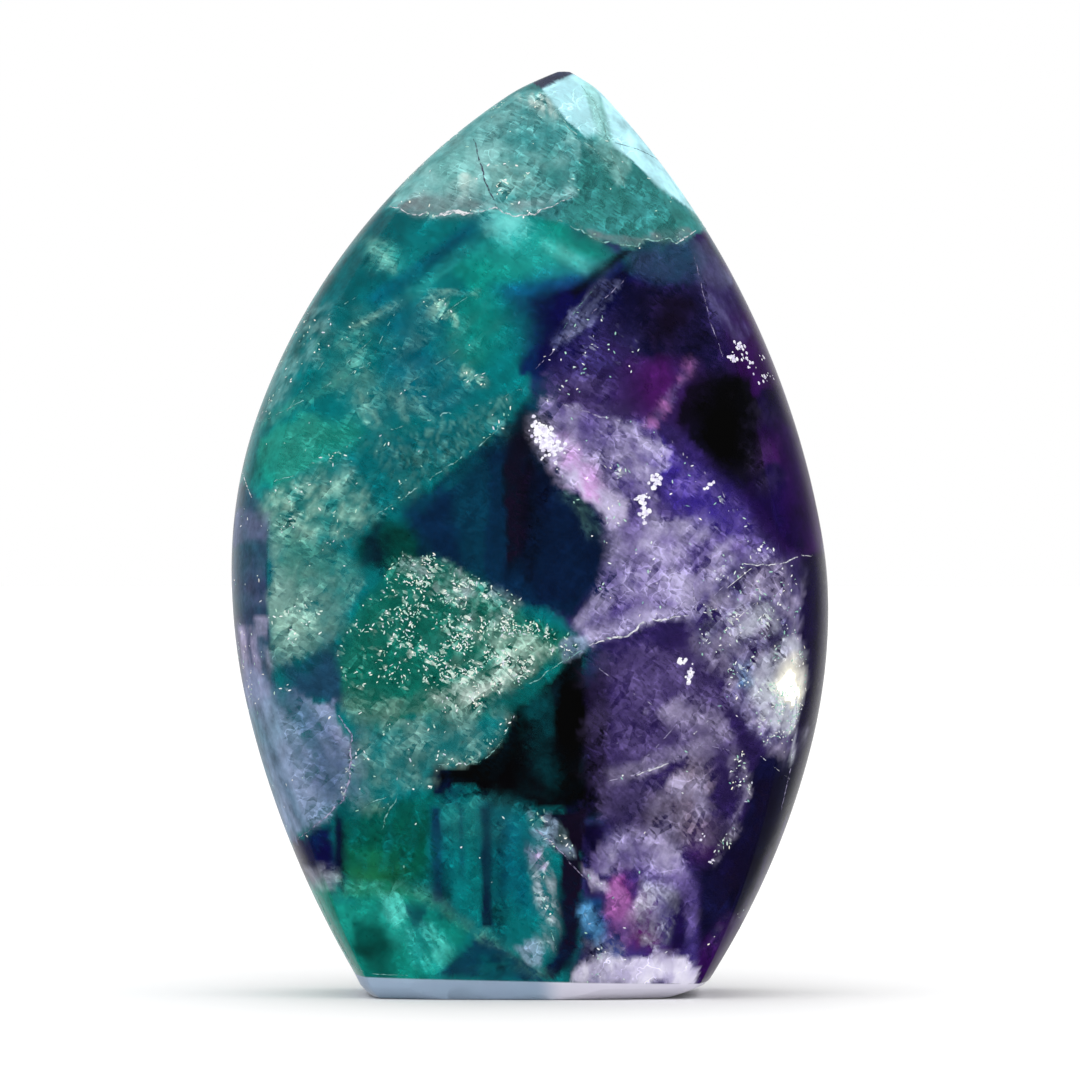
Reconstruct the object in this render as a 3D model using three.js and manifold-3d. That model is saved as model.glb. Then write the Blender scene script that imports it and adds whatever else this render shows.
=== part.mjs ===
// A polished fluorite flame: one stone cut to a pointed arch that leans a little to the right.
// Its front and back are gently domed faces, its sides are rounded and meet the faces along soft ridges,
// its tip has a small chipped facet, and it stands on a flat foot with a ground edge.
// Millimetres, +Z up, front face towards -Y, origin under the middle of the stone at the foot.
import * as THREE from "three";
import { mergeVertices } from "three/addons/utils/BufferGeometryUtils.js";
import Module from "manifold-3d";

// Driving dimensions
const HEIGHT = 92.1;
const FOOT_EDGE_HEIGHT = 1.6;

// Each side of the outline is a chain of tangent arcs that starts at the widest point, where it is upright.
// "near" is the radius next to the widest point, kept for "turn" degrees, and "far" the radius after it.
const LEFT_OUTLINE = {
  reach: 29.9,
  height: 42.5,
  up: { near: 46.3, turn: 21.3, far: 64.7 },
  down: { near: 60.9, turn: 13.9, far: 95.5 },
};
const RIGHT_OUTLINE = {
  reach: 29.9,
  height: 38.5,
  up: { near: 41.8, turn: 9.6, far: 85.7 },
  down: { near: 56.0, turn: 14.7, far: 78.0 },
};

// Half the thickness on the middle line: one arc from the thickest height up to the tip, one down to the foot.
const DEPTH = { thickest: 15, height: 36, tip: 1.8, foot: 11.3 };

// A face rises by this share of the half thickness between its ridges.
const FACE_CROWN = 0.22;

// How far inside the outline the ridges run, at most and at the stone's two ends.
const LEFT_RIDGE = { inset: 4.0, end: 1.2 };
const RIGHT_RIDGE = { inset: 4.8, end: 1.0 };
const RIDGE_LARGEST_SHARE = 0.26;

// The rounded side is this much of a quarter ellipse, so it meets the face at an edge.
const SIDE_SWEEP = THREE.MathUtils.degToRad(58);

// The last stretch below the tip is rounded over, to this share of its width at the very top.
const TIP_ROUNDING = { length: 2.1, width: 0.37 };

// The ground edge draws the foot in by these amounts.
const FOOT_EDGE = { left: 1.3, right: 3.6, depth: 1.5, roundness: 1.6 };

// Flat facets: a point on the plane and the direction that it faces.
const TIP_CHIP = { point: [2.7, -2.3, 90.7], facing: [-0.22, -0.58, 0.8] };
const FOOT_FACET = { point: [1.7, -10.95, 1.6], facing: [-0.045, -0.86, -0.5] };
const CUTTER_SIZE = 60;

// Fineness of the faceted surface
const FACE_STEPS = 20;
const SIDE_STEPS = 10;
const LEVELS = 64;
const LEVEL_CROWDING = 1.7;

const wasm = await Module();
wasm.setup();

/** How far a chain of arcs has drawn in at a distance above or below the widest point. */
function drawIn(distance, { near, turn, far }) {
  const angle = THREE.MathUtils.degToRad(turn);
  if (distance <= near * Math.sin(angle)) {
    return near - Math.sqrt(near ** 2 - distance ** 2);
  }
  const centreShift = near - far;
  const along = distance - centreShift * Math.sin(angle);
  return near - centreShift * Math.cos(angle) - Math.sqrt(far ** 2 - along ** 2);
}

/** Distance from the middle line to one side of the outline, at a height. */
function sideReach(outline, z) {
  const chain = z >= outline.height ? outline.up : outline.down;
  return outline.reach - drawIn(Math.abs(z - outline.height), chain);
}

/** Half the stone's thickness on its middle line, at a height. */
function halfDepth(z) {
  const above = z >= DEPTH.height;
  const length = above ? HEIGHT - DEPTH.height : DEPTH.height;
  const drop = DEPTH.thickest - (above ? DEPTH.tip : DEPTH.foot);
  const radius = (length ** 2 + drop ** 2) / (2 * drop);
  const distance = z - DEPTH.height;
  return DEPTH.thickest - radius + Math.sqrt(radius ** 2 - distance ** 2);
}

/** How far a ridge runs inside the outline: widest at mid height, narrow at the ends. */
function ridgeInset({ inset, end }, z, width) {
  const wide = end + (inset - end) * Math.sin((Math.PI * z) / HEIGHT);
  return Math.min(wide, RIDGE_LARGEST_SHARE * width);
}

/** Share of the width that the rounding leaves, near the tip. */
function tipShare(z) {
  const share = Math.max(0, (z - HEIGHT + TIP_ROUNDING.length) / TIP_ROUNDING.length);
  return Math.sqrt(1 - (1 - TIP_ROUNDING.width ** 2) * share ** 2);
}

/** Points of the rounded side from the front ridge to the back ridge, as [distance inside the outline, y]. */
function sideProfile(inset, ridgeDepth) {
  const points = [];
  for (let i = 0; i <= SIDE_STEPS; i++) {
    const angle = SIDE_SWEEP * ((2 * i) / SIDE_STEPS - 1);
    const inside = (inset * (1 - Math.cos(angle))) / (1 - Math.cos(SIDE_SWEEP));
    points.push([inside, (ridgeDepth * Math.sin(angle)) / Math.sin(SIDE_SWEEP)]);
  }
  return points;
}

/** The closed outline of the stone at a height, counter-clockwise seen from above, starting at the left ridge. */
function section(z) {
  const left = -sideReach(LEFT_OUTLINE, z);
  const right = sideReach(RIGHT_OUTLINE, z);
  const middle = (left + right) / 2;
  const half = ((right - left) / 2) * tipShare(z);
  const depth = halfDepth(z) * tipShare(z);
  const ridgeDepth = depth * (1 - FACE_CROWN);
  const leftInset = ridgeInset(LEFT_RIDGE, z, 2 * half);
  const rightInset = ridgeInset(RIGHT_RIDGE, z, 2 * half);
  const leftRidge = middle - half + leftInset;
  const rightRidge = middle + half - rightInset;
  const points = [];
  const addFace = (from, to, facing) => {
    for (let i = 1; i < FACE_STEPS; i++) {
      const along = (2 * i) / FACE_STEPS - 1;
      const x = from + ((to - from) * i) / FACE_STEPS;
      points.push([x, facing * (ridgeDepth + (depth - ridgeDepth) * (1 - along ** 2))]);
    }
  };
  addFace(leftRidge, rightRidge, -1);
  for (const [inside, y] of sideProfile(rightInset, ridgeDepth)) points.push([middle + half - inside, y]);
  addFace(rightRidge, leftRidge, 1);
  for (const [inside, y] of sideProfile(leftInset, ridgeDepth)) points.push([middle - half + inside, -y]);
  return points;
}

/** The outline inside the ground edge: the section on top of it, drawn in towards the foot. */
function footSection(z) {
  const drawn = (1 - z / FOOT_EDGE_HEIGHT) ** FOOT_EDGE.roundness;
  const left = -sideReach(LEFT_OUTLINE, FOOT_EDGE_HEIGHT);
  const right = sideReach(RIGHT_OUTLINE, FOOT_EDGE_HEIGHT);
  const depth = halfDepth(FOOT_EDGE_HEIGHT);
  const newLeft = left + FOOT_EDGE.left * drawn;
  const newRight = right - FOOT_EDGE.right * drawn;
  return section(FOOT_EDGE_HEIGHT).map(([x, y]) => [
    newLeft + ((x - left) * (newRight - newLeft)) / (right - left),
    y * (1 - (FOOT_EDGE.depth * drawn) / depth),
  ]);
}

/** Heights of the outlines: three in the ground edge, then closer together towards the tip. */
function levelHeights() {
  const heights = [0, FOOT_EDGE_HEIGHT / 3, (2 * FOOT_EDGE_HEIGHT) / 3];
  for (let i = 0; i <= LEVELS; i++) {
    const rise = 1 - (1 - i / LEVELS) ** LEVEL_CROWDING;
    heights.push(FOOT_EDGE_HEIGHT + (HEIGHT - FOOT_EDGE_HEIGHT) * rise);
  }
  return heights;
}

/** A closed surface through a stack of outlines with the same number of points. */
function loft(heights, outlines) {
  const count = outlines[0].length;
  const positions = [];
  outlines.forEach((outline, level) => {
    for (const [x, y] of outline) positions.push(x, y, heights[level]);
  });
  const index = [];
  for (let level = 0; level + 1 < outlines.length; level++) {
    for (let i = 0; i < count; i++) {
      const a = level * count + i;
      const b = level * count + ((i + 1) % count);
      index.push(a, b, b + count, a, b + count, a + count);
    }
  }
  const top = (outlines.length - 1) * count;
  for (let i = 1; i + 1 < count; i++) {
    index.push(0, i + 1, i);
    index.push(top, top + i, top + i + 1);
  }
  const geometry = new THREE.BufferGeometry();
  geometry.setAttribute("position", new THREE.Float32BufferAttribute(positions, 3));
  geometry.setIndex(index);
  return geometry;
}

/** A solid from a closed geometry. */
function solidFrom(geometry) {
  const bare = new THREE.BufferGeometry();
  bare.setAttribute("position", geometry.getAttribute("position"));
  bare.setIndex(geometry.index);
  const merged = mergeVertices(bare);
  return new wasm.Manifold(
    new wasm.Mesh({
      numProp: 3,
      vertProperties: new Float32Array(merged.attributes.position.array),
      triVerts: new Uint32Array(merged.index.array),
    }),
  );
}

/** The solid with everything in front of a plane ground away. */
function grindFacet(solid, { point, facing }) {
  const normal = new THREE.Vector3(...facing).normalize();
  const turn = new THREE.Quaternion().setFromUnitVectors(new THREE.Vector3(0, 0, 1), normal);
  const centre = new THREE.Vector3(...point).addScaledVector(normal, CUTTER_SIZE / 2);
  const cutter = new THREE.BoxGeometry(CUTTER_SIZE, CUTTER_SIZE, CUTTER_SIZE);
  cutter.applyQuaternion(turn).translate(centre.x, centre.y, centre.z);
  return solid.subtract(solidFrom(cutter));
}

/** A geometry from a solid. */
function geometryFrom(solid) {
  const { vertProperties, triVerts } = solid.getMesh();
  const geometry = new THREE.BufferGeometry();
  geometry.setAttribute("position", new THREE.BufferAttribute(vertProperties, 3));
  geometry.setIndex(new THREE.BufferAttribute(triVerts, 1));
  geometry.computeVertexNormals();
  return geometry;
}

/** The whole stone. */
function flameStone() {
  const heights = levelHeights();
  const outlines = heights.map((z) => (z < FOOT_EDGE_HEIGHT ? footSection(z) : section(z)));
  let stone = solidFrom(loft(heights, outlines));
  stone = grindFacet(stone, TIP_CHIP);
  stone = grindFacet(stone, FOOT_FACET);
  const material = new THREE.MeshStandardMaterial({ color: 0x1f6f78, roughness: 0.08, metalness: 0 });
  const mesh = new THREE.Mesh(geometryFrom(stone), material);
  mesh.name = "flame_stone";
  return mesh;
}

const fluoriteFlame = new THREE.Group();
fluoriteFlame.add(flameStone());

export default fluoriteFlame;
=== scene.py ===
"""Looks of a polished fluorite flame: the stone, its cracks, grains and sparkles, in a pale studio."""
from __future__ import annotations

import logging
import math
import random
from dataclasses import dataclass, field
from enum import Enum
from typing import Any, Iterable, Sequence

import bmesh
import bpy
import numpy as np
from mathutils import Matrix, Vector, noise
from mathutils.bvhtree import BVHTree

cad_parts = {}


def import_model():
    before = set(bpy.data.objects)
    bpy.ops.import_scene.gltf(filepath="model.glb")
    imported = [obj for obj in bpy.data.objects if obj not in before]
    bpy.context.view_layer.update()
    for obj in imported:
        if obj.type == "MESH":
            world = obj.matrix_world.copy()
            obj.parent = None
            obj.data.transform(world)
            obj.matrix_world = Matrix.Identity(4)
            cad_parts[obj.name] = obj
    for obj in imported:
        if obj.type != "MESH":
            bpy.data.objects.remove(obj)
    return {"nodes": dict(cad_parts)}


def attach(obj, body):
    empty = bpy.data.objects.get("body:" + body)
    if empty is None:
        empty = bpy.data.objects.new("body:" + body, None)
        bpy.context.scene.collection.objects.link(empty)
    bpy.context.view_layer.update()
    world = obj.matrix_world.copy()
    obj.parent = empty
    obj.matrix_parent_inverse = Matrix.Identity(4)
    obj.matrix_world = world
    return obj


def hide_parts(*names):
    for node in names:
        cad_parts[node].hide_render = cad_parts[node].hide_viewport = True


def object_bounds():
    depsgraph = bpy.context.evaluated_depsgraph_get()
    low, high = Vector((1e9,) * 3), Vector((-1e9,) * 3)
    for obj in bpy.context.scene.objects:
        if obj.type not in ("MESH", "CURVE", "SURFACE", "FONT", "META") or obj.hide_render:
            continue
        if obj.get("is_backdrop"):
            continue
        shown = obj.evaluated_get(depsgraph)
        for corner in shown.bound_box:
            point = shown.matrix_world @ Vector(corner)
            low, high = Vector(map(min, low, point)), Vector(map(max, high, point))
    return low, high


LOG = logging.getLogger("fluorite_flame")
MM = 0.001
STONE_NODE = "flame_stone"
BODY = "root"
MIDDLE = 0.5

Place = tuple[float, float]
Outline = Sequence[Place]
Colour = tuple[float, float, float, float]


class Tone(Enum):
    """The stone's colours, as hexadecimal sRGB."""

    INK = "030309"
    NIGHT = "05082c"
    NAVY = "0a0a44"
    INDIGO = "100434"
    SEA_BLUE = "052646"
    BLUE = "0c5490"
    STEEL = "1d4560"
    SLATE = "353c62"
    SLATE_LILAC = "6d7294"
    PETROL = "005a74"
    DARK_TEAL = "00555f"
    TEAL = "04787c"
    LIGHT_TEAL = "2aa8a4"
    SEA_GREEN = "0d9182"
    JADE = "1a9a8a"
    FOREST = "005444"
    FERN = "1d8052"
    FAN_GREEN = "08695a"
    AQUA = "36e4de"
    AQUA_STREAK = "66e8da"
    PALE_AQUA = "b2eef4"
    CLOUD_TEAL = "3f9294"
    CLOUD_PALE = "93cac8"
    # painted light: WEDGE is the pale aqua of the backlight through the thin tip, laid on the tip as a
    # cloudy cover
    WEDGE = "b6eaf4"
    WEDGE_FOLD = "8fc4c0"
    RUST_DUST = "5d5a60"
    DEEP_GREEN = "003e38"
    HAMMERED = "1c6a6c"
    HAMMERED_PALE = "7cb6a9"
    SHEET = "5c6c90"
    SHEET_PALE = "8f9cbd"
    BEIGE = "8f8090"
    ROSE = "b070b4"
    BLUE_SPARK = "5a9ccc"
    # partly painted light: BRIGHT_FOOT is the foot strip's pale end, brightened for the floor's light seen
    # through the chamfer
    BRIGHT_FOOT = "f2eeff"
    # painted glints: the colour of the tiny bright specks painted where the stone sparkles
    FLECK = "e4f0e6"
    BLACK = "000000"
    AQUA_LIGHT = "9df6f2"
    WINE_BLACK = "0e0518"
    SHADE_TEAL = "2f7c78"
    DUST = "8d8e93"
    DARK_DUST = "70757c"
    FROST = "dde9e2"
    CHIP = "343c58"
    LEDGE = "34887c"
    LEDGE_PALE = "a8d6c2"
    MOSS = "528d7c"
    MOSS_PALE = "9cc3b1"
    HAZE = "486e68"
    HAZE_PALE = "80a49a"
    BAND = "31545e"
    WINE = "4a1560"
    DARK_WINE = "30084e"
    VIOLET = "3a2894"
    PURPLE = "2f2058"
    FAN_PURPLE = "44347e"
    MAUVE = "695b8e"
    MAUVE_PALE = "a9a0c0"
    LAVENDER = "7b6aa9"
    LAVENDER_PALE = "c9c0e0"
    LILAC = "b4adcf"
    PINK = "d79fe0"
    MAGENTA = "8a2a7c"
    SPOT_BLUE = "1f62a6"
    DUSK = "3a3470"
    # partly painted light: FOOT_BLUE and FOOT_LILAC are the foot strip's colours, made paler for the
    # floor's light seen through the chamfer
    FOOT_BLUE = "a9bcd6"
    FOOT_LILAC = "d2caec"
    SMOKE = "676390"
    SMOKE_PALE = "cfd4e0"
    SHARD = "8fa3bd"
    # painted highlight: the glint's colour, also one of the sparkle flakes' colours
    GLINT = "fffbe8"
    WHITE = "f6f6fa"

    @property
    def linear(self) -> Colour:
        """The colour as linear red, green, blue and alpha, by the standard sRGB curve."""
        parts = [int(self.value[i:i + 2], 16) / 255 for i in (0, 2, 4)]
        red, green, blue = (p / 12.92 if p <= 0.04045 else ((p + 0.055) / 1.055) ** 2.4 for p in parts)
        return red, green, blue, 1.0


class Value:
    """A node socket that takes part in arithmetic, each step adding a Math node."""

    def __init__(self, graph: Graph, socket: bpy.types.NodeSocket | None) -> None:
        """Wraps a socket of a graph."""
        self.graph = graph
        self.socket = socket

    def math(self, operation: str, *others: Any) -> Value:
        """One Math node with this value as its first input."""
        return self.graph.node("ShaderNodeMath", {"operation": operation}, [self, *others])

    def __add__(self, other: Any) -> Value:
        """This value plus another."""
        return self.math("ADD", other)

    __radd__ = __add__

    def __mul__(self, other: Any) -> Value:
        """This value times another."""
        return self.math("MULTIPLY", other)

    __rmul__ = __mul__

    def __sub__(self, other: Any) -> Value:
        """This value less another."""
        return self.math("SUBTRACT", other)

    def __rsub__(self, other: Any) -> Value:
        """Another value less this one."""
        return self.graph.node("ShaderNodeMath", {"operation": "SUBTRACT"}, [other, self])

    def output(self, name: str) -> Value:
        """Another output of the same node."""
        return Value(self.graph, self.socket.node.outputs[name])

    def rise(self, low: float, high: float) -> Value:
        """A smooth step from 0 at low to 1 at high, or downwards where low is above high."""
        ends = {1: low, 2: high, 3: 0.0, 4: 1.0} if low < high else {1: high, 2: low, 3: 1.0, 4: 0.0}
        settings = {"interpolation_type": "SMOOTHSTEP"}
        return self.graph.node("ShaderNodeMapRange", settings, {"Value": self} | ends)


class Graph:
    """A node tree that is filled in by expressions."""

    def __init__(self, tree: bpy.types.NodeTree) -> None:
        """Starts from an empty tree."""
        self.tree = tree
        tree.nodes.clear()

    def node(self, kind: str, settings: dict[str, Any] | None = None,
             inputs: dict[Any, Any] | Sequence[Any] | None = None, output: int | str = 0) -> Value:
        """Adds a node.

        Args:
            kind: The node's type name.
            settings: Properties to set first; "stops" holds a ramp's positions and colours.
            inputs: Values or links by socket name or number, or in order.
            output: The output socket to return.

        Returns:
            The chosen output as a value.
        """
        made = self.tree.nodes.new(kind)
        for name, setting in (settings or {}).items():
            if name == "stops":
                self._set_stops(made, setting)
            else:
                setattr(made, name, setting)
        pairs = inputs.items() if isinstance(inputs, dict) else enumerate(inputs or [])
        for key, given in pairs:
            self._feed(made.inputs[key], given)
        return Value(self, made.outputs[output] if made.outputs else None)

    def _feed(self, socket: bpy.types.NodeSocket, given: Any) -> None:
        """Links a value to a socket, or sets the socket's own value."""
        if isinstance(given, Value):
            self.tree.links.new(given.socket, socket)
        else:
            socket.default_value = given.linear if isinstance(given, Tone) else given

    @staticmethod
    def _set_stops(ramp: bpy.types.Node, stops: Sequence[tuple[float, Any]]) -> None:
        """Sets a colour ramp's stops."""
        elements = ramp.color_ramp.elements
        while len(elements) < len(stops):
            elements.new(1.0)
        for element, (position, colour) in zip(elements, stops):
            element.position = position
            element.color = colour.linear if isinstance(colour, Tone) else colour

    def mix(self, factor: Any, first: Any, second: Any, blend: str = "MIX") -> Value:
        """A colour mixed from two others."""
        settings = {"data_type": "RGBA", "blend_type": blend, "clamp_factor": True}
        return self.node("ShaderNodeMix", settings, {0: factor, 6: first, 7: second}, 2)

    def grey(self, light: Value) -> Value:
        """A grey colour of some brightness."""
        return self.node("ShaderNodeCombineColor", None, [light, light, light])

    def attribute(self, name: str, output: str = "Fac") -> Value:
        """An attribute of the mesh."""
        return self.node("ShaderNodeAttribute", {"attribute_name": name}, output=output)

    def axes(self, vector: Value) -> tuple[Value, Value, Value]:
        """The three parts of a vector."""
        first = self.node("ShaderNodeSeparateXYZ", None, [vector])
        return first, first.output("Y"), first.output("Z")

    def surface(self, inputs: dict[str, Any]) -> None:
        """Ends a material with one principled surface."""
        shader = self.node("ShaderNodeBsdfPrincipled", None, inputs)
        self.node("ShaderNodeOutputMaterial", None, {"Surface": shader})

    def place_mm(self) -> Value:
        """Object coordinates in millimetres."""
        place = self.node("ShaderNodeTexCoord", output="Object")
        return self.node("ShaderNodeVectorMath", {"operation": "SCALE"}, {0: place, "Scale": 1 / MM})

    def noise(self, place: Value, size: float, detail: float = 3.0, roughness: float = 0.5) -> Value:
        """Cloudy noise with features of about a size in millimetres."""
        inputs = {"Vector": place, "Scale": 1 / size, "Detail": detail, "Roughness": roughness}
        return self.node("ShaderNodeTexNoise", None, inputs, "Fac")


def new_material(name: str) -> tuple[bpy.types.Material, Graph]:
    """Makes an empty node material.

    Args:
        name: The material's name.

    Returns:
        The material and the graph that fills it in.
    """
    material = bpy.data.materials.new(name)
    material.use_nodes = True
    return material, Graph(material.node_tree)


GRAIN_DEPTH = 0.5
HAMMER_FINENESS = 3
HAMMER_FINE_SHARE = 0.4
HAMMER_RANGE = (0.05, 0.5)
CLOUD_FALL = 0.6
CLOUD_STEP = 2.2
CLOUD_OCTAVES = 5
BAND_OCTAVES = 2
CLOUD_RANGE = (-0.75, 0.75)


class Grain(Enum):
    """The pattern inside a patch; the value is how closely it is packed along its own direction."""

    PLAIN = 0.0
    CLOUD = 1.0
    SILK = 0.22
    BANDS = 0.03
    HAMMERED = 0.45

    def pattern(self, places: np.ndarray, size: float, turn: float) -> np.ndarray:
        """The pattern's strength at each place.

        Args:
            places: Rows of x, y and z in millimetres.
            size: The pattern's scale in millimetres.
            turn: Degrees that long marks are turned up from the horizontal.

        Returns:
            A number from 0 to 1 for each place.
        """
        if self is Grain.PLAIN:
            return np.ones(len(places))
        angle = math.radians(turn)
        along = places[:, 0] * math.cos(angle) + places[:, 2] * math.sin(angle)
        across = places[:, 2] * math.cos(angle) - places[:, 0] * math.sin(angle)
        scaled = np.stack([along * self.value, places[:, 1] * GRAIN_DEPTH, across], 1) / size
        if self is Grain.HAMMERED:
            broad = np.array([abs(noise.noise(p)) for p in scaled.tolist()])
            fine = np.array([noise.noise(HAMMER_FINENESS * Vector(p)) for p in scaled.tolist()])
            return smooth(broad + HAMMER_FINE_SHARE * fine, *HAMMER_RANGE)
        octaves = BAND_OCTAVES if self is Grain.BANDS else CLOUD_OCTAVES
        values = [noise.fractal(p, CLOUD_FALL, CLOUD_STEP, octaves) for p in (scaled / 2).tolist()]
        return smooth(np.array(values), *CLOUD_RANGE)


@dataclass(frozen=True)
class Patch:
    """A patch of the stone with its own colour.

    The outline is in millimetres across and up, seen from the front. The three numbers after it are soft,
    the half width of the edge's fade, ragged, how far the edge wanders, both in millimetres, and strength,
    the patch's greatest cover. Size, turn and contrast belong to its grain, which runs from its tone to the
    pale one. It can fade out in a direction, in degrees from the right, by an amount. Sparkle is how many
    flakes glitter on it, and edge how many glitter along its outline.
    """

    name: str
    tone: Tone
    outline: Outline
    soft: float = 0.8
    ragged: float = 0.5
    strength: float = 1.0
    grain: Grain = Grain.PLAIN
    size: float = 1.5
    turn: float = 0.0
    contrast: float = 0.6
    pale: Tone | None = None
    sparkle: float = 0.0
    fade: float | None = None
    fade_amount: float = 0.8
    edge: float = 0.0
    front_only: bool = False


@dataclass(frozen=True)
class CloudPatch(Patch):
    """A patch with a cloudy grain."""

    grain: Grain = Grain.CLOUD


@dataclass(frozen=True)
class SilkPatch(Patch):
    """A patch with a silky grain."""

    grain: Grain = Grain.SILK


def smooth(values: np.ndarray, low: float, high: float) -> np.ndarray:
    """A smooth step from 0 at low to 1 at high."""
    share = np.clip((values - low) / (high - low), 0.0, 1.0)
    return share * share * (3 - 2 * share)


def signed_distance(outline: Outline, x: np.ndarray, z: np.ndarray) -> np.ndarray:
    """How far places lie inside an outline.

    Args:
        outline: The closed outline's corners.
        x: The places' distances across.
        z: The places' heights.

    Returns:
        The distance to the outline, negative outside it.
    """
    inside = np.zeros(x.shape, bool)
    nearest = np.full(x.shape, np.inf)
    for (ax, az), (bx, bz) in zip(outline, [*outline[1:], outline[0]]):
        across, up = bx - ax, bz - az
        share = np.clip(((x - ax) * across + (z - az) * up) / (across ** 2 + up ** 2), 0, 1)
        nearest = np.minimum(nearest, np.hypot(x - ax - share * across, z - az - share * up))
        if up:
            inside ^= ((az > z) != (bz > z)) & (x < ax + across * (z - az) / up)
    return np.where(inside, nearest, -nearest)


@dataclass
class Painter:
    """Lays patches over a mesh's vertices and stores them as attributes.

    The back repeats the front's patches with a shift, thinner veils and fewer sparkles. A patch's edge
    wanders by broad and fine noise, and a drift from place to place makes it softer and its cover thinner.
    """

    mesh: bpy.types.Mesh
    back_shift: Place = (1.6, -1.4)
    back_turn: float = 0.25
    back_veil: float = 0.55
    back_sparkle: float = 0.3
    side_facing: Place = (0.55, 0.95)
    side_veil: float = 0.62
    side_light: float = 1.1
    front_veil: float = 0.2
    rim_width: float = 0.4
    rim_inset: float = 0.1
    drift_size: float = 5.0
    drift_range: Place = (-0.4, 0.5)
    drift_soft: Place = (0.4, 1.9)
    drift_cover: Place = (1.2, -0.45)
    broad_size: float = 2.6
    fine_size: float = 0.7
    fine_share: float = 0.5
    ragged_reach: float = 1.4
    clump_size: float = 1.5
    clump_fine_size: float = 0.5
    clump_fine_share: float = 0.8
    clump_range: Place = (-0.35, 0.75)
    least_cover: float = 1e-6

    def __post_init__(self) -> None:
        """Reads the mesh's vertices."""
        self.places = self._read("co") / MM
        facing = self._read("normal")[:, 1]
        self.back = smooth(facing, -self.back_turn, self.back_turn)
        self.side = 1 - smooth(np.abs(facing), *self.side_facing)
        self.x = self.places[:, 0] - self.back_shift[0] * self.back
        self.z = self.places[:, 2] - self.back_shift[1] * self.back
        self.wander = self._field(self.broad_size) + self.fine_share * self._field(self.fine_size)
        self.drift = smooth(self._field(self.drift_size), *self.drift_range)

    def _read(self, name: str) -> np.ndarray:
        """Rows of x, y and z that the vertices hold."""
        values = np.empty(3 * len(self.mesh.vertices))
        self.mesh.vertices.foreach_get(name, values)
        return values.reshape(-1, 3)

    def _field(self, size: float) -> np.ndarray:
        """Smooth noise from -1 to 1 at every vertex."""
        return np.array([noise.noise(p) for p in (self.places / size).tolist()])

    def mask(self, patch: Patch) -> tuple[np.ndarray, np.ndarray, np.ndarray]:
        """Where a patch lies.

        Args:
            patch: The patch.

        Returns:
            The numbers of the vertices near it, how much it covers each, and how far inside it each lies.
        """
        corners = np.array(patch.outline)
        reach = patch.ragged * self.ragged_reach
        margin = patch.soft * sum(self.drift_soft) + reach * (1 + self.fine_share)
        low, high = corners.min(0) - margin, corners.max(0) + margin
        beside = (self.x > low[0]) & (self.x < high[0])
        near = np.flatnonzero(beside & (self.z > low[1]) & (self.z < high[1]))
        LOG.debug("patch %s: %d points", patch.name, len(near))
        depth = signed_distance(patch.outline, self.x[near], self.z[near]) + reach * self.wander[near]
        soft = patch.soft * (self.drift_soft[0] + self.drift_soft[1] * self.drift[near])
        cover = smooth(depth / soft, -1.0, 1.0)
        if patch.fade is not None:
            way = np.array([math.cos(math.radians(patch.fade)), math.sin(math.radians(patch.fade))])
            ends = corners @ way
            along = self.x[near] * way[0] + self.z[near] * way[1]
            cover = cover * (1 - patch.fade_amount * smooth(along, ends.min(), ends.max()))
        return near, cover, depth

    def growth(self, base: Tone, patches: Iterable[Patch]) -> None:
        """Stores the clear growth colour as the attribute "growth"."""
        colours = np.tile(np.array(base.linear), (len(self.places), 1))
        for patch in patches:
            near, cover, _ = self.mask(patch)
            pattern = patch.grain.pattern(self.places[near], patch.size, patch.turn)
            cover = (cover * patch.strength * (1 - patch.contrast * (1 - pattern)))[:, None]
            colours[near] = colours[near] * (1 - cover) + np.array(patch.tone.linear) * cover
        self.clear = colours
        self._store("growth", "FLOAT_COLOR", colours)

    def veils(self, patches: Iterable[Patch]) -> None:
        """Stores the veils' colour and cover as "veil", their sparkle, and where the sides are."""
        colours = np.minimum(self.clear * self.side_light, 1.0)
        colours[:, 3] = self.front_veil + self.side * (self.side_veil - self.front_veil)
        sparkle = np.zeros(len(self.places))
        clumps = self._field(self.clump_size) + self.clump_fine_share * self._field(self.clump_fine_size)
        clumps = smooth(clumps, *self.clump_range)
        for patch in patches:
            near, cover, depth = self.mask(patch)
            pattern = patch.grain.pattern(self.places[near], patch.size, patch.turn)
            rim = np.exp(-((depth - self.rim_inset) / self.rim_width) ** 2) * patch.edge * self.drift[near]
            glitter = np.maximum(cover * patch.sparkle, rim) * clumps[near]
            sparkle[near] = np.maximum(sparkle[near], glitter)
            thin = self.drift_cover[0] + self.drift_cover[1] * self.drift[near]
            cover = cover * patch.strength * thin * (1 - patch.contrast * (1 - pattern))
            hidden = 1.0 if patch.front_only else 1 - self.back_veil
            cover = np.minimum(cover, 1.0) * (1 - self.back[near] * hidden)
            pale = np.array((patch.pale or patch.tone).linear)
            tone = np.array(patch.tone.linear) * (1 - pattern[:, None]) + pale * pattern[:, None]
            under = colours[near, 3] * (1 - cover)
            whole = np.maximum(cover + under, self.least_cover)
            mixed = (tone * cover[:, None] + colours[near] * under[:, None]) / whole[:, None]
            mixed[:, 3] = cover + under
            colours[near] = mixed
        self._store("veil", "FLOAT_COLOR", colours)
        self._store("side", "FLOAT", self.side)
        self._store("sparkle", "FLOAT", sparkle * (1 - self.back * (1 - self.back_sparkle)))

    def _store(self, name: str, kind: str, values: np.ndarray) -> None:
        """Stores values as an attribute of the vertices."""
        attribute = self.mesh.attributes.new(name, kind, "POINT")
        attribute.data.foreach_set("color" if kind == "FLOAT_COLOR" else "value", values.ravel())


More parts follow.
